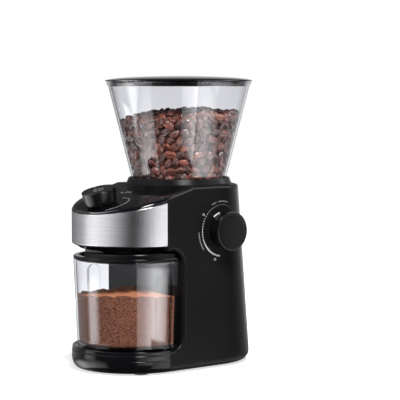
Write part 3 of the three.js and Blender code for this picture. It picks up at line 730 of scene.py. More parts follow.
def bottom_cover():
    """Plate under the body with its vent slots, screw holes and the posts that carry the gearbox."""
    low, high = extent("bottom_cover")
    plan = arc(0, NOSE_Y, 58, 180, 360, 64) + arc(0, rear_centre(0), BODY_R - 14.4, 0, 180, 64)
    plate = prism("bottom_cover_plate", plan, (low.z, low.z + 2.5))
    slots = []
    for k in range(-3, 4):
        ends = arc(k * 7, BURR_Y + 42, 1.5, 0, 180, 8) + arc(k * 7, BURR_Y + 2, 1.5, 180, 360, 8)
        slots.append(prism("slot", ends, (-2, 12)))
    sinks = [turned("sink", [(0, 0), (5.2, 0), (2.4, 2.8), (2.4, 10), (0, 10)], 32, x, 4) for x in (-48, 48)]
    carve(plate, *slots, *sinks)
    post = [(2, low.z + 2.4), (4.5, low.z + 2.4), (4.5, high.z), (2, high.z)]
    posts = [turned("post", post, 32, x, y) for x, y in ((-40, 4), (40, 20), (6, 88))]
    return merged("bottom_cover_plate", [plate, *posts])


def deck_top(x, y):
    """Height of the glossy deck: a slight crown that rolls off at the rim and fades towards the crease."""
    along = max(0.0, NOSE_Y - y)
    out = min(1.0, math.hypot(x, along) / BODY_R)
    fade = min(1.0, max(0.0, (CREASE_Y - y) / 40))
    return deck_height(y) + (DECK_CROWN - DECK_ROLL * out ** 6) * fade


def deck_plan(inset, steps=96):
    """Outline of the deck: round nose, straight sides, and a straight edge along the crease."""
    radius = BODY_R - inset
    nose = arc(0, NOSE_Y, radius, 180, 360, steps)
    rear = CREASE_Y - GAP
    right = [(radius, y) for y in np.linspace(NOSE_Y, rear, 13)[1:]]
    back = [(x, rear) for x in np.linspace(radius, -radius, 41)[1:]]
    left = [(-radius, y) for y in np.linspace(rear, NOSE_Y, 13)[1:-1]]
    return nose + right + back + left


def top_deck():
    """Sloping glossy cap with a rounded edge, over the head and the front of the body."""
    rings = [[(x, y, 150) for x, y in deck_plan(0)]]
    for edge, drop in reversed(quarter(DECK_EDGE)):
        rings.append([(x, y, deck_top(x, y) - drop) for x, y in deck_plan(edge)])
    rim = deck_plan(DECK_EDGE)
    for shrink in (0.97, 0.93, 0.88, 0.82, 0.75, 0.66, 0.55, 0.42, 0.28, 0.12):
        ring = []
        for x, y in rim:
            inner_y = NOSE_Y + (y - NOSE_Y) * shrink if y < NOSE_Y else y
            ring.append((x * shrink, inner_y, deck_top(x * shrink, inner_y)))
        rings.append(ring)
    deck = loft("top_deck_cap", rings)
    seam = BAND_REAR_Y - GAP
    under = across([
        (FORE, 100), (FORE, band_height(FORE) + GAP), (seam, band_height(seam) + GAP),
        (seam, deck_height(seam) - 3.2), (0, deck_height(0) - 3.2), (0, 100),
    ])
    upright = Vector((0, -math.sin(DECK_TILT), math.cos(DECK_TILT)))
    centre = Vector((0, SELECTOR_Y, deck_height(SELECTOR_Y)))
    stem_hole = rod(6, centre - upright * 30, centre + upright * 30)
    return carve(deck, under, collar_hole(), stem_hole)


def front_band():
    """Thin steel band round the head, taller towards the back, with eased edges."""
    rings = []
    end = math.degrees(math.asin((BAND_REAR_Y - NOSE_Y) / BODY_R))
    for angle in np.radians(np.linspace(180 - end, 360 + end, 121)):
        y = NOSE_Y + BODY_R * math.sin(angle)
        top = band_height(y)
        inner = BODY_R - BAND_THICK
        section = [(inner, BAND_BOTTOM), (BODY_R, BAND_BOTTOM), (BODY_R, top), (inner, top)]
        section = rounded(section, 0.45, step=30)
        rings.append([(r * math.cos(angle), NOSE_Y + r * math.sin(angle), z) for r, z in section])
    return loft("front_band_skin", rings)


def head_frame():
    """Bowl of the head: its floor is the bay ceiling, and the band wraps its wall."""
    profile = rounded([
        (0, CEILING_Z, 0), (60, CEILING_Z, 5), (69.2, 142.4), (69.2, 142.8, 0.1), (68.2, 142.8, 0.1),
        (68.2, 200), (65.6, 200), (65.6, 144.1), (59, 139.6), (0, 139.6, 0),
    ], 0.5)
    bowl = turned("head_frame_bowl", profile, FINE, 0, NOSE_Y)
    behind = across(rectangle(BAND_REAR_Y - GAP, 60, 100, ABOVE))
    above = across([(FORE, band_height(FORE) - GAP), (0, band_height(0) - GAP), (0, ABOVE), (FORE, ABOVE)])
    chute = block(-13, 13, rectangle(-69, -48.4, 130, 145))
    return carve(bowl, behind, above, chute)


def bay_panel():
    """Lining of the jar bay between the side walls."""
    panel = block(-LINING_HALF, LINING_HALF, bay_outline(2.3, 7.3))
    panel.name = "bay_panel_lining"
    inside = across(bay_outline(0, 5))
    middle = 81
    head = across(rectangle(FORE, BAND_REAR_Y + GAP, middle, 160))
    foot = across(rectangle(FORE, BASE_SEAM_Y + GAP, 0, middle + 1))
    return carve(panel, inside, head, foot)


def base_front():
    """Half round foot that the jar stands on, with a soft lower curve, a groove and a rim round its top."""
    curve = [(63.5 + 7 * math.sin(t), 16 - 13.5 * math.cos(t)) for t in np.linspace(0, math.pi / 2, 10)]
    profile = [(0, 23.4), (66.2, 23.4), (67.6, 20), (67.6, 14), (65, 7.5), (60.5, BODY_FOOT)] + curve
    profile += [(BASE_R, 16.2), (70.0, 16.6), (70.0, 17.0), (BASE_R, 17.4)]
    profile += rounded([
        (BASE_R, 19), (BASE_R, 22.4, 0.8), (69.6, 23.2, 0.5), (69.6, BASE_LIP_Z, 0.9),
        (67.4, BASE_LIP_Z, 0.8), (66.8, PLATEAU_Z, 0.6), (0, PLATEAU_Z),
    ], 0.5, closed=False, step=20)
    foot = turned("base_front_skin", profile, FINE, 0, NOSE_Y)
    return carve(foot, across(rectangle(BASE_SEAM_Y - GAP, 60, -10, 60)))


def foot_pad(place):
    low, high = extent(f"foot_{place}")
    x, y = (low.x + high.x) / 2, (low.y + high.y) / 2
    profile = rounded([(2.6, 0), (8.8, 0, 1.2), (9.2, high.z, 0.3), (2.6, high.z)], 0.2)
    return turned(f"foot_{place}_pad", profile, 48, x, y)


def cord_gland():
    """Ribbed rubber sleeve where the cord leaves the back."""
    profile = [(3.3, 0), (9.6, 0), (9.6, 2.2), (8.8, 3.0), (6.8, 3.0)]
    for k in range(3):
        start = 3.4 + 1.5 * k
        profile += [(6.8, start), (6.1, start + 0.3), (6.1, start + 0.7), (6.8, start + 1.0)]
    profile += [(6.4, 7.8), (3.3, 7.8)]
    sleeve = turned("cord_gland_sleeve", profile, 48)
    turn = Matrix.Rotation(-math.pi / 2, 4, "X")
    turn.translation = Vector((0, GLAND_LOW.y, CORD_Z))
    return placed(sleeve, turn)


def casing(finish):
    dress(body_shell(), finish["satin_black"], "housing", ["body_shell"])
    dress(bottom_cover(), finish["inner_plastic"], "housing", ["bottom_cover"])
    dress(top_deck(), finish["gloss_black"], "housing", ["top_deck"])
    dress(front_band(), finish["stainless"], "housing", ["front_band"])
    dress(head_frame(), finish["gloss_black"], "housing", ["head_frame"])
    dress(bay_panel(), finish["satin_black"], "housing", ["bay_panel"])
    dress(base_front(), finish["base_black"], "housing", ["base_front"])
    for place in ("front_left", "front_right", "rear_left", "rear_right"):
        dress(foot_pad(place), finish["rubber"], "housing", [f"foot_{place}"])
    dress(cord_gland(), finish["rubber"], "housing", ["cord_gland"])


# ---- bean hopper ---------------------------------------------------------------------------
def bayonet(name, inner, outer, start, end, levels):
    """Short piece of a ring round the burrs' axis."""
    plan = arc(0, BURR_Y, outer, start, end, 12) + arc(0, BURR_Y, inner, end, start, 12)
    return prism(name, plan, levels)


def hopper_cone():
    """Clear funnel with a beaded rim, a stepped neck and three bayonet lugs."""
    profile = rounded([
        (24.3, 184.5), (26.5, 184.5), (26.5, 189.2, 1), (47.8, 203.6, 2), (47.8, 190.5), (50, 190.5),
        (50, 205, 1), (54.9, CONE_FOOT_Z, 6), (80.9, CONE_HEAD_Z, 4), (83, 321.5), (83, HOPPER_TOP),
        (80.6, HOPPER_TOP), (CONE_HEAD_R, CONE_HEAD_Z, 4), (CONE_FOOT_R, CONE_FOOT_Z, 6), (49.6, 208.9, 3),
        (24.3, 191.8, 1),
    ], 0.5)
    cone = turned("hopper_clear", profile, FINE, 0, BURR_Y)
    lugs = [bayonet("lug", 49.6, 53, angle - 12, angle + 12, (192, 196)) for angle in BAYONETS]
    return merged("hopper_clear", [cone, *lugs])


def hopper_collar():
    """Satin ring that the hopper locks into, with its bayonet tabs."""
    profile = rounded([
        (54.3, 187.2), (57, 187.2), (57, 199), (60.7, 199), (60.7, 207.4, 2.5),
        (57.9, COLLAR_TOP, 0.8), (55.6, COLLAR_TOP), (54.3, 207),
    ], 0.5)
    ring = turned("hopper_collar_ring", profile, FINE, 0, BURR_Y)
    tabs = [bayonet("tab", 50.6, 54.8, angle - 34, angle - 14, (196.4, 198.8)) for angle in BAYONETS]
    return merged("hopper_collar_ring", [ring, *tabs])


def hopper_lid():
    """Shallow domed lid with a thin brim and a skirt inside the hopper rim."""
    profile = [
        (0, LID_TOP), (4, 329.99), (9, 329.97), (14, 329.92), (20, 329.85), (29, 329.66), (38, 329.4),
        (46, 329.1), (54, 328.75), (60, 328.4), (66, 328.0), (75, 327.1), (80.5, 326.2), (83.6, 325.45),
        (84.7, 325.0), (LID_R, 324.5), (84.8, 323.95), (84.2, 323.8), (77.8, 323.8), (77.6, 318.2),
        (75.8, 318.2), (75.8, 322.6), (0, 327.2),
    ]
    return turned("hopper_lid_dome", profile, FINE, 0, BURR_Y)


def hopper(finish):
    dress(hopper_collar(), finish["satin_black"], "housing", ["hopper_collar"])
    dress(hopper_cone(), finish["clear_plastic"], "hopper", ["hopper"])
    dress(hopper_lid(), finish["gloss_black"], "lid", ["hopper_lid"])


# ---- grounds jar ---------------------------------------------------------------------------
def smooth(t):
    t = min(1.0, max(0.0, t))
    return t * t * (3 - 2 * t)


def flute(y, z):
    """Depth of the grip recess pressed into each side of the jar."""
    spring = FLUTE_TOP - FLUTE_ARCH
    if z >= FLUTE_TOP:
        return 0.0
    half = FLUTE_HALF
    if z > spring:
        half *= math.sqrt(1 - ((z - spring) / FLUTE_ARCH) ** 2)
    return FLUTE_DEPTH * smooth((half - abs(y - FLUTE_Y)) / FLUTE_EDGE)


def flute_step(point):
    """How steep the recess's edge is there, from 0 on the flats to 1 half way down."""
    x, y, z = (c / MM for c in point)
    if abs(x) <= FLUTE_SIDE:
        return 0.0
    share = flute(y, z) / FLUTE_DEPTH
    return 4 * share * (1 - share)


def jar_ring(inset, z, steps=120):
    """Plan of the tapering jar at a height, with the recess in each side."""
    rise = (z - JAR_FOOT) / (JAR_RIM - JAR_FOOT)
    scale = (JAR_R_FOOT + (JAR_R_RIM - JAR_R_FOOT) * rise) / JAR_R_RIM
    ring = []
    for x, y in jar_plan(inset, steps):
        x, y = x * scale, NOSE_Y + (y - NOSE_Y) * scale
        if abs(x) > FLUTE_SIDE:
            x -= math.copysign(flute(y, z), x)
        ring.append((x, y, z))
    return ring


def jar_body():
    """Clear jar: rounded foot, thick floor, recessed grips and an eased rim."""
    wall_levels = [*np.arange(36, 104, 8), *np.arange(104.2, 114.5, 0.45), 119.0]
    rings = [jar_ring(edge, JAR_FOOT + drop) for edge, drop in quarter(3.0, 5)]
    rings += [jar_ring(0, z) for z in wall_levels]
    rings += [jar_ring(edge, JAR_RIM - drop) for edge, drop in reversed(quarter(0.9, 3))]
    rings += [jar_ring(JAR_WALL - edge, JAR_RIM - drop) for edge, drop in quarter(0.9, 3)]
    rings += [jar_ring(JAR_WALL, z) for z in reversed(wall_levels)]
    floor = JAR_FOOT + JAR_FLOOR
    rings += [jar_ring(JAR_WALL + edge, floor + drop) for edge, drop in reversed(quarter(3.5, 5))]
    jar_clear = loft("jar_clear", rings)
    # Steepness of the recess edges, where the clear finish paints shade.
    point_values(jar_clear, "step", [flute_step(vertex.co) for vertex in jar_clear.data.vertices])
    return jar_clear


def jar_lid():
    """Lid with a flange on the rim, a raised crown and a plug, open under the chute."""
    levels = [
        (3.2, 123.6), (3.0, 124), (3.0, 125.3), (0.5, 125.3), (0.1, 125.7), (0, 126.3), (0, 128.0),
        (0.2, 128.5), (0.7, 128.9), (2.4, JAR_RIM + 4), (3.0, 129.3), (3.1, 130), (3.1, 132.6),
        (3.4, 133.7), (4.2, 134.5), (5.4, JAR_LID_TOP), (7.0, JAR_LID_TOP),
    ]
    lid = loft("jar_lid_cap", [[(x, y, z) for x, y in jar_plan(inset)] for inset, z in levels])
    hollow = prism("hollow", jar_plan(6.3), (110, JAR_LID_TOP - 2.2))
    mouth = block(-18, 18, rectangle(-72, -46, 110, 145))
    return carve(lid, hollow, mouth, lid_corner(JAR_RIM + 4.2))


def lid_corner(foot):
    """What is cut from the crown at its left, so that only the flange is left there."""
    right = Vector((math.cos(VIEW_AZIMUTH), math.sin(VIEW_AZIMUTH)))
    fore = Vector((math.sin(VIEW_AZIMUTH), -math.cos(VIEW_AZIMUTH)))
    corners = ((-80, -60), (-54.5, -60), (-54.5, 62), (-80, 62))
    plan = [right * side + fore * front + Vector((0, NOSE_Y)) for side, front in corners]
    return prism("corner", plan, (foot, 150))


def jar(finish):
    dress(jar_body(), finish["clear_plastic"], "jar", ["jar"])
    dress(jar_lid(), finish["base_black"], "jar_lid", ["jar_lid"])


# ---- controls ------------------------------------------------------------------------------
def grind_knob():
    """Side knob: shallow finger flutes, a raised pointer rib, and a slightly dished cap."""
    foot, face = KNOB_LOW.x, KNOB_FACE
    stations = [
        (foot, 18.4, 0), (foot + 0.3, 19.2, 0.2), (foot + 1.0, 19.5, 0.7), (foot + 6, 20.2, 1),
        (foot + 12, 21.0, 1), (face - 3.2, 21.6, 0.8), (face - 2.0, 21.95, 0.2), (face - 1.3, KNOB_R, 0),
        (face - 0.6, 21.85, 0), (face - 0.15, 21.3, 0), (face, 20.5, 0), (face - 0.05, 19.6, 0),
        (face - 0.5, 18.4, 0), (face - 0.75, 14, 0), (face - 0.9, 7, 0), (face - 0.95, 1, 0),
    ]
    rings = []
    for x, radius, grip in stations:
        ring = []
        for k in range(180):
            angle = 2 * math.pi * k / 180
            off = (math.degrees(angle) - KNOB_POINTER + 180) % 360 - 180
            rib = 0.9 * smooth((6.5 - abs(off)) / 3) if radius > 19 else 0.0
            own = radius - grip * 0.75 * (0.5 + 0.5 * math.cos(KNOB_FLUTES * angle)) + grip * rib
            ring.append((x, DIAL_Y + own * math.cos(angle), DIAL_Z + own * math.sin(angle)))
        rings.append(ring)
    return loft("grind_knob_grip", rings)


def deck_frame():
    """Frame of the selector: its origin on the deck, Z square to the deck."""
    turn = Matrix.Rotation(DECK_TILT, 4, "X")
    turn.translation = Vector((0, SELECTOR_Y, deck_height(SELECTOR_Y)))
    return turn


def selector_knob():
    """Round selector: a flat top disc in a thin raised rim, a mark cut in the rim and a pointer lug."""
    foot, top = SELECTOR_FOOT, SELECTOR_TOP
    profile = rounded([
        (0, foot), (17.6, foot, 0.6), (18.2, foot + 3, 3), (SELECTOR_R, top, 1.3), (17.4, top, 0.4),
        (17.1, top - SELECTOR_DISH, 0.2), (0, top - SELECTOR_DISH),
    ], 0.5)
    knob = turned("selector_knob_grip", profile, 128)
    notch = prism("notch", [(14.5, -0.9), (22, -0.9), (22, 0.9), (14.5, 0.9)], (top - 1.3, top + 3))
    carve(knob, placed(notch, Matrix.Rotation(math.radians(58), 4, "Z")))
    plan = rounded([(14, -2.6), (20.7, -2.0, 1.0), (20.7, 2.0, 1.0), (14, 2.6)], 0.3)
    lug = prism("lug", plan, (top - 6, top - 1.4))
    carve(knob, placed(lug, Matrix.Rotation(math.radians(46), 4, "Z")), operation="UNION")
    return placed(knob, deck_frame())


# ---- printed marks -------------------------------------------------------------------------
def side_face(y, z):
    """X of the right-hand side of the casing: flat, then round behind the rear centre."""
    behind = max(0.0, y - rear_centre(z))
    return math.sqrt(BODY_R ** 2 - behind ** 2)


def strip_mark(points, half_width):
    """Closed outline of an even line through plan points."""
    path = [Vector(p) for p in points]
    left, right = [], []
    for k, point in enumerate(path):
        along = (path[min(k + 1, len(path) - 1)] - path[max(k - 1, 0)]).normalized()
        out = Vector((-along.y, along.x)) * half_width
        left.append(point + out)
        right.append(point - out)
    return [tuple(p) for p in left + right[::-1]]


def mark(outline, surface, thick=0.12):
    """Thin printed patch: the outline laid on a surface given as a function from (u, v, lift) to a point."""
    return loft("mark", [[surface(u, v, lift) for u, v in outline] for lift in (-thick, thick)])


def on_side(u, v, lift):
    """Side of the casing, u to the rear and v up from the dial's axis."""
    y, z = DIAL_Y + u, DIAL_Z + v
    return (side_face(y, z) + lift, y, z)


def on_deck(u, v, lift):
    """Deck, u to the right and v up the slope from the selector's axis."""
    y = SELECTOR_Y + v * math.cos(DECK_TILT)
    return (u, y, deck_top(u, y) + lift)


def on_selector(u, v, lift):
    """Top disc of the selector."""
    return tuple(deck_frame() @ Vector((u, v, SELECTOR_TOP - SELECTOR_DISH + lift)))


def numeral(text, size, centre, surface):
    """A number as a thin printed mark."""
    curve = bpy.data.curves.new("numeral", "FONT")
    curve.body = text
    curve.size = size
    curve.align_x = "CENTER"
    curve.align_y = "CENTER"
    curve.extrude = 0.1
    curve.resolution_u = 3
    source = linked("numeral", curve)
    bpy.context.view_layer.update()
    mesh = settled_mesh(source)
    bpy.data.objects.remove(source)
    for vertex in mesh.vertices:
        u, v, lift = vertex.co
        vertex.co = Vector(surface(centre[0] + u, centre[1] + v, lift)) * MM
    return linked("numeral", mesh)


def polar(radius, degrees):
    return (radius * math.cos(math.radians(degrees)), radius * math.sin(math.radians(degrees)))


def arc_mark(radius, start, end, half_width, surface, steps=24):
    return mark(strip_mark(arc(0, 0, radius, start, end, steps), half_width), surface)


def dial_print():
    """Ring of dots that grow from fine to coarse, with two numbers outside it."""
    marks = []
    dots = 35
    for k in range(dots):
        share = k / (dots - 1)
        u, v = polar(28.9, 52 + 209 * share)
        size = 0.16 + 0.95 * share ** 1.3
        marks.append(mark([(u + a, v + b) for a, b in arc(0, 0, size, 0, 342, 19)], on_side))
    for text, radius, angle in (("16", 33.2, 145.4), ("35", 34.0, -107.8)):
        marks.append(numeral(text, 3.6, polar(radius, angle), on_side))
    return merged("dial_print", marks)


def dial_labels():
    """Plain dashed arcs outside the dots, where a dial carries its wording."""
    marks = []
    for radius, start, end, dashes in ((32.8, 116, 104, 3), (32.8, 99, 71, 7), (33.9, 182, 218, 9)):
        step = (end - start) / dashes
        for k in range(dashes):
            first = start + step * k
            marks.append(arc_mark(radius, first, first + step * 0.62, 0.5, on_side, 4))
    return merged("dial_labels", marks)


def knob_pointer():
    """White line round the foot of the side knob at its pointer rib."""
    def surface(u, v, lift):
        return (KNOB_LOW.x + 0.9 + lift * 4, DIAL_Y + u, DIAL_Z + v)
    return merged("grind_knob_pointer", [arc_mark(20.6, 104, 130, 0.55, surface)])


def deck_print():
    """Dose arc round the selector that curls in at its end, and three rings of growing size behind it."""
    sweep = [polar(29.4 + 2.6 * smooth((angle + 31) / 60), angle) for angle in np.linspace(-31, 38, 36)]
    curl = [polar(r, angle) for r, angle in ((31.4, 46), (30.3, 54), (28.8, 62), (27.0, 70), (25.4, 76))]
    marks = [mark(strip_mark(sweep + curl, 0.3), on_deck)]
    for x, v, size in ((-16, 42, 1.1), (-10, 43.5, 1.6), (-4, 45, 2.1)):
        marks.append(mark(strip_mark(arc(x, v, size, 0, 352, 44), 0.25), on_deck))
    return merged("deck_print", marks)


def power_mark():
    """Open ring with an upright stroke, the usual sign for power."""
    ring = arc_mark(5.0, 118, 422, 0.36, on_selector, 48)
    stroke = mark(strip_mark([(0, 2.4), (0, 7.0)], 0.36), on_selector)
    return merged("selector_power_mark", [ring, stroke])


def controls(finish):
    dress(grind_knob(), finish["control_black"], "dial", ["grind_knob"])
    dress(knob_pointer(), finish["print"], "dial")
    dress(dial_print(), finish["print"], "housing")
    dress(dial_labels(), finish["faint_print"], "housing")
    dress(selector_knob(), finish["control_black"], "selector", ["selector_knob"])
    dress(power_mark(), finish["faint_print"], "selector")
    dress(deck_print(), finish["faint_print"], "housing")


# ---- coffee --------------------------------------------------------------------------------
def bean_shape(rings=8, around=14):
    """One bean lying along X with its creased flat side up: points, faces and crease shares."""
    length, width, back, flat = 6.5, 4.6, 3.4, 1.9
    points, shares = [(-length, 0, 0)], [0.0]
    flats = (1.0, 0.62, 0.26, 0.09, -0.09, -0.26, -0.62)
    backs = [math.pi + math.pi * k / (around - len(flats)) for k in range(around - len(flats))]
    for k in range(rings):
        u = math.sin((k + 1) / (rings + 1) * math.pi - math.pi / 2)
        size = (1 - abs(u) ** 2.4) ** 0.5
        bend = 0.11 * math.sin(u * math.pi)
        for side in flats:
            near = math.exp(-((side - bend) / 0.13) ** 2)
            rise = flat * (1 - 0.55 * side * side) * size if abs(side) < 1 else 0.35 * flat * size
            points.append((length * u, width * size * side, rise - 0.95 * near * size))
            shares.append(near)
        for angle in backs:
            points.append((length * u, width * size * math.cos(angle), back * size * math.sin(angle)))
            shares.append(0.0)
    points.append((length, 0, 0))
    shares.append(0.0)
    faces = []
    last = len(points) - 1
    for i in range(around):
        j = (i + 1) % around
        faces.append((0, 1 + j, 1 + i))
        faces.append((last, last - around + i, last - around + j))
        for k in range(rings - 1):
            near, far = 1 + k * around, 1 + (k + 1) * around
            faces.append((near + i, near + j, far + j, far + i))
    return np.array(points), faces, np.array(shares)


def settled_points(points, room, tidy, rounds=14):
    """Push points apart until their neighbours leave room; tidy brings them back inside their area."""
    for _ in range(rounds):
        gap = points[:, None, :] - points[None, :, :]
        distance = np.linalg.norm(gap, axis=2) + np.eye(len(points)) * 1e6
        push = np.clip(room - distance, 0, None)[..., None] * gap / distance[..., None]
        points = tidy(points + 0.35 * push.sum(axis=1))
    return points


def cone_inside(z):
    """Inner radius of the hopper at a height."""
    slope = (CONE_HEAD_R - CONE_FOOT_R) / (CONE_HEAD_Z - CONE_FOOT_Z)
    return CONE_FOOT_R + slope * (z - CONE_FOOT_Z)


def heap_height(x, y):
    """Top of the beans, heaped towards the middle and a little uneven."""
    out = math.hypot(x, y) / 70
    uneven = 4.0 * noise.noise(Vector((x, y, 3.0)) / 24)
    right = x * math.cos(VIEW_AZIMUTH) + y * math.sin(VIEW_AZIMUTH)
    return BEANS_TOP + BEANS_MOUND * (1 - out ** 2) + 0.06 * right + uneven


def wall_places(rng):
    """Places of the beans that lie against the hopper's wall, in two layers, with their outward axes."""
    places = []
    for depth, offset in ((3.2, 0.0), (7.4, 0.5)):
        radius = cone_inside(250) - depth
        columns = int(2 * math.pi * radius / BEAN_PITCH)
        spots = np.array([
            (BEAN_PITCH * (column + row % 2 / 2 + offset / 2), BEANS_FOOT + row * BEAN_ROW + offset * 4)
            for column in range(columns) for row in range(BEAN_ROWS)
        ])
        spots += rng.uniform(-2.4, 2.4, spots.shape)
        for along, z in settled_points(spots, 9.6, lambda p: p):
            angle = along / radius
            if z < CONE_FOOT_Z and cone_inside(z) - depth < 40:
                continue
            out = cone_inside(z) - depth - rng.uniform(0, 1.2)
            x, y = out * math.cos(angle), out * math.sin(angle)
            if z < heap_height(x, y) - 2:
                normal = Vector((math.cos(angle), math.sin(angle), -0.24)).normalized()
                places.append((Vector((x, y, z)), normal))
    return places


def inside_heap(points, reach=66.5):
    """Points brought back within a distance of the middle."""
    out = np.linalg.norm(points, axis=1, keepdims=True)
    return points * np.minimum(1, reach / np.maximum(out, 1e-6))


def heap_places(rng):
    """Places of the beans on top of the heap, in two layers, facing up."""
    places = []
    spacing = 8.2
    for depth in (2.5, 7.0):
        spots = []
        for ring in range(9):
            count = max(1, round(2 * math.pi * ring * spacing / 9.0))
            angles = np.linspace(0, 2 * math.pi, count, endpoint=False) + rng.uniform(0, 6)
            spots += [(ring * spacing * math.cos(t), ring * spacing * math.sin(t)) for t in angles]
        spots = np.array(spots) + rng.uniform(-2.2, 2.2, (len(spots), 2))
        for x, y in settled_points(spots, 8.8, inside_heap):
            slope = Vector((x * 0.0037, y * 0.0037, 1)).normalized()
            places.append((Vector((x, y, heap_height(x, y) - depth)), slope))
    return places


def turned_bean(normal, rng, tilt):
    """Rotation of one bean: its flat side out or in, a tilt, and a spin about the way out."""
    flipped = math.pi * (rng.uniform() < 0.35)
    flip = Matrix.Rotation(flipped + math.radians(rng.normal(0, tilt)), 3, "X")
    pitch = Matrix.Rotation(math.radians(rng.normal(0, tilt * 0.7)), 3, "Y")
    spin = Matrix.Rotation(rng.uniform(0, 2 * math.pi), 3, "Z")
    aim = normal.to_track_quat("Z", "Y").to_matrix()
    return np.array(aim @ spin @ pitch @ flip)


def poured(name, places, rng, tilt):
    """Mesh of beans at their places, none reaching through the hopper's wall."""
    shape, faces, shares = bean_shape()
    points, polygons, roasts, creases = [], [], [], []
    for place, normal in places:
        size = rng.uniform(0.88, 1.1)
        turn = turned_bean(normal, rng, tilt)
        scale = size * np.array([rng.uniform(0.92, 1.08), rng.uniform(0.94, 1.06), 1.0])
        bean = (shape * scale) @ turn.T + np.array(place)
        reach = np.hypot(bean[:, 0], bean[:, 1])
        past_wall = (reach - np.array([cone_inside(z) for z in bean[:, 2]])).max() + 0.3
        if past_wall > 0:
            out = np.array([place.x, place.y]) / math.hypot(place.x, place.y)
            bean[:, :2] -= out * past_wall
        first = len(points)
        points.extend(bean + np.array([0, BURR_Y, 0]))
        polygons.extend(tuple(first + i for i in face) for face in faces)
        roasts.extend([rng.beta(2.2, 2.2)] * len(shape))
        creases.extend(shares)
    made = mesh_object(name, points, polygons)
    point_values(made, "roast", roasts)
    # Where each bean's crease lies, for the painted shade in it.
    point_values(made, "crease", creases)
    return made


def heap_shade_core():
    """Painted shade: a dark solid in the middle of the heap for the shade between the beans there, out of
    sight behind two layers of beans.
    """
    wall = [(cone_inside(216) - 13, 216), (cone_inside(276) - 12, 276)]
    profile = [(0, 202), (38, 204), *wall, (44, 285), (0, 289)]
    return turned("coffee_heap_shade_core", profile, 64, 0, BURR_Y)


def coffee_beans(finish):
    rng = np.random.default_rng(SEED)
    wall = poured("coffee_beans_wall", wall_places(rng), rng, 24)
    heap = poured("coffee_beans_heap", heap_places(rng), rng, 30)
    for piece in (wall, heap):
        dress(piece, finish["bean"], "hopper", crease=60)
    dress(heap_shade_core(), finish["painted_shade_core"], "hopper")


def grounds_height(x, y):
    """Top of the grounds: a mound under the chute, falling off to the right, with coarse and fine lumps."""
    across_view, along_view = 0.619, 0.785
    right = x * across_view + (y - NOSE_Y) * along_view
    fore = x * along_view - (y - NOSE_Y) * across_view
    mound = GROUNDS_MOUND * math.exp(-(((x - 4) / 34) ** 2 + ((y + 46) / 30) ** 2)) + 0.06 * fore
    mound -= 0.07 * right if right > 0 else -0.03 * right
    coarse = 2.6 * noise.noise(Vector((x, y, 1.7)) / 11)
    fine = 1.5 * noise.noise(Vector((x, y, 5.1)) / 3.4)
    return GROUNDS_TOP + mound + (coarse + fine)


def ground_coffee(finish):
    """Heap of grounds that fills the jar's lower half, its top rough and mounded under the chute."""
    foot = JAR_FOOT + JAR_FLOOR + 0.2
    inset = JAR_WALL + 0.25
    steps = 80
    rings = [jar_ring(inset + edge, foot + drop, steps) for edge, drop in quarter(3.3, 4)]
    rings += [jar_ring(inset, z, steps) for z in np.arange(36, 80, 6)]
    rim = jar_ring(inset, 86, steps)
    heap = []
    for share in np.linspace(0, 1, 26)[:-1]:
        plan = [(x * (1 - share), NOSE_Y + (y - NOSE_Y) * (1 - share)) for x, y, _ in rim]
        heap.append([(x, y, grounds_height(x, y)) for x, y in plan])
    rings.append([(x, y, z - 0.7) for x, y, z in heap[0]])
    fill = loft("ground_coffee_fill", rings + heap)
    wall_points = len(rings) * len(rim)
    # The top's points, which the grounds finish paints lighter as painted light.
    point_values(fill, "top", [float(vertex.index >= wall_points) for vertex in fill.data.vertices])
    dress(fill, finish["grounds"], "jar", crease=70)


# ---- surroundings --------------------------------------------------------------------------
def bearing_direction(bearing):
    """Level direction at a bearing to the right of the camera, in degrees, as seen from the object."""
    turn = VIEW_AZIMUTH + math.radians(bearing)
    return Vector((math.sin(turn), -math.cos(turn), 0))


def softbox(name, stops, foot, head, radiance, fade):
    """Glowing curved panel: its share of light at each bearing by the stops, fading at foot and head."""
    bearings, levels = zip(*stops)
    columns = 48
    heights = ((foot, 0.0), (foot + fade, 1.0), (head - fade, 1.0), (head, 0.0))
    points, glow = [], []
    for bearing in np.linspace(bearings[0], bearings[-1], columns + 1):
        out = bearing_direction(bearing) * PANEL_DISTANCE
        for z, share in heights:
            points.append((out.x, out.y, z))
            glow.append(share * np.interp(bearing, bearings, levels))
    faces = []
    rows = len(heights)
    for column in range(columns):
        for a in range(column * rows, column * rows + rows - 1):
            faces.append((a, a + 1, a + rows + 1, a + rows))
    panel = mesh_object(name, points, faces)
    point_values(panel, "glow", glow)
    material, tree, shader = new_material(name)
    tree.nodes.remove(shader)
    show(tree, node(tree, "Emission", {"Strength": ranged(tree, stored(tree, "glow"), 0.0, radiance)}))
    panel.data.materials.append(material)
    panel.visible_camera = False
    panel.visible_diffuse = False
    panel.visible_shadow = False


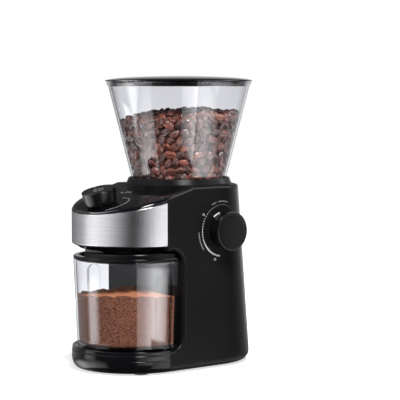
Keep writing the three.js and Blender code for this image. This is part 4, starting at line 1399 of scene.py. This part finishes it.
def world():
    """White to the eye. To everything else bright low behind the object, and dim above and in front."""
    sky = bpy.data.worlds.new("studio")
    sky.use_nodes = True
    bpy.context.scene.world = sky
    tree = sky.node_tree
    seen = tree.nodes["Background"]
    feed(seen, {"Color": (1, 1, 1, 1), "Strength": 1.0})
    place = node(tree, "TexCoord").outputs["Generated"]
    aim = node(tree, "VectorMath", {0: place, 1: -bearing_direction(0)}, operation="DOT_PRODUCT")
    behind = node(tree, "MapRange", {"From Min": -1.0, "Value": aim.outputs["Value"]}).outputs["Result"]
    height = node(tree, "SeparateXYZ", {0: place}).outputs["Z"]
    around = ramp(tree, behind, [(0.0, [0.05] * 3), (0.45, [0.07] * 3), (0.8, [0.6] * 3), (1.0, [0.6] * 3)])
    upward = ramp(tree, height, [(0.12, [1.0] * 3), (0.34, [0.12] * 3)])
    glow = node(tree, "Background", {"Color": mixed(tree, 1.0, around, upward, blend_type="MULTIPLY")})
    to_eye = node(tree, "LightPath").outputs["Is Camera Ray"]
    pick = node(tree, "MixShader", {"Fac": to_eye, 1: glow.outputs[0], 2: seen.outputs[0]})
    feed(tree.nodes["World Output"], {"Surface": pick.outputs[0]})


def floor():
    """Pale ground out to the horizon. To the eye it also glows, and glows less round the object as a painted
    shadow. Nothing mirrors it.
    """
    material, tree, shader = new_material("floor")
    feed(shader, {"Base Color": (0.82, 0.82, 0.82, 1), "Roughness": 0.9, "Specular IOR Level": 0.0})
    place = node(tree, "TexCoord").outputs["Object"]
    reach = node(tree, "VectorMath", {0: place}, operation="LENGTH").outputs["Value"]
    # Painted shadow: the glow dims to 0.72 within a short reach of the middle, round the object.
    limits = {"From Min": 0.11, "From Max": 0.16, "To Min": 0.72, "To Max": 1.0, "Value": reach}
    spread = node(tree, "MapRange", limits, interpolation_type="SMOOTHSTEP").outputs["Result"]
    glow = node(tree, "Emission", {"Strength": spread})
    dark = node(tree, "Emission", {"Strength": 0.0})
    to_eye = node(tree, "LightPath").outputs["Is Camera Ray"]
    share = node(tree, "MixShader", {"Fac": to_eye, 1: dark.outputs[0], 2: glow.outputs[0]})
    show(tree, node(tree, "AddShader", {0: shader.outputs[0], 1: share.outputs[0]}))
    far = 9000
    corners = [(-far, -far, 0), (far, -far, 0), (far, far, 0), (-far, far, 0)]
    ground_plane = mesh_object("floor", corners, [(0, 1, 2, 3)])
    ground_plane.data.materials.append(material)
    ground_plane.visible_glossy = False
    ground_plane.visible_shadow = False


def lamp(name, bearing, elevation, size, watts):
    """Round soft lamp aimed at the middle of the object."""
    data = bpy.data.lights.new(name, "AREA")
    data.shape = "DISK"
    data.size = size
    data.energy = watts
    made = linked(name, data)
    rise = math.radians(elevation)
    out = bearing_direction(bearing) * math.cos(rise) + Vector((0, 0, math.sin(rise)))
    made.location = Vector((0, 0, 0.2)) + out * LAMP_DISTANCE_M
    made.rotation_mode = "QUATERNION"
    made.rotation_quaternion = out.to_track_quat("Z", "Y")
    made.visible_camera = False


PANELS = (
    # name, (bearing, share of light) stops, foot, head, radiance, fade at foot and head
    ("left_panel", ((-165, 0.1), (-126, 0.26), (-104, 0.4), (-90, 0.8), (-74, 1), (-50, 0.75), (-31, 0.4),
                    (-12, 0.1), (0, 0)), -125, 1500, 1.3, 40),
    ("right_panel", ((3, 0), (14, 0.07), (28, 0.31), (42, 0.66), (60, 1), (74, 0.68), (90, 0.1), (110, 0)),
     -125, 1200, 1.2, 40),
    ("left_low_panel", ((-150, 0), (-134, 0.25), (-112, 1), (-80, 0.9), (-60, 0.5), (-52, 0.3), (-50, 0)),
     -1150, -290, 6.0, 160),
    ("left_mid_panel", ((-103, 0), (-94, 1), (-82, 1), (-70, 0)), -400, -138, 4.5, 22),
    ("right_mid_panel", ((4, 0), (5, 0.18), (20, 0.4), (40, 1), (52, 0.9), (69, 0.4), (71, 0)),
     -600, -138, 7.5, 22),
    ("right_low_panel", ((33, 0), (35, 0.6), (55, 1), (85, 0.8), (120, 0.25), (165, 0)),
     -1500, -300, 3.9, 120),
    ("rim_panel", ((58, 0), (84, 1), (118, 1), (132, 0)), 560, 2200, 8.0, 120),
    ("left_rim_panel", ((-152, 0), (-146, 1), (-110, 1), (-90, 0)), 600, 2600, 7.0, 300),
    ("rear_panel", ((134, 0), (142, 1), (168, 1), (176, 0)), -190, 300, 1.3, 40),
)


def studio():
    """Soft panels and two lamps. Upright walls mirror the middle panels, the sloping hopper the lowest."""
    world()
    floor()
    for panel in PANELS:
        softbox(*panel)
    lamp("key_lamp", 14, 46, 0.45, 36.0)
    lamp("fill_lamp", -48, 22, 1.0, 5.0)
    scene = bpy.context.scene
    scene.view_settings.view_transform = "Standard"
    scene.view_settings.look = "None"


finish = finishes()
dress_cad_nodes(finish)
casing(finish)
hopper(finish)
jar(finish)
controls(finish)
coffee_beans(finish)
ground_coffee(finish)
studio()
camera()
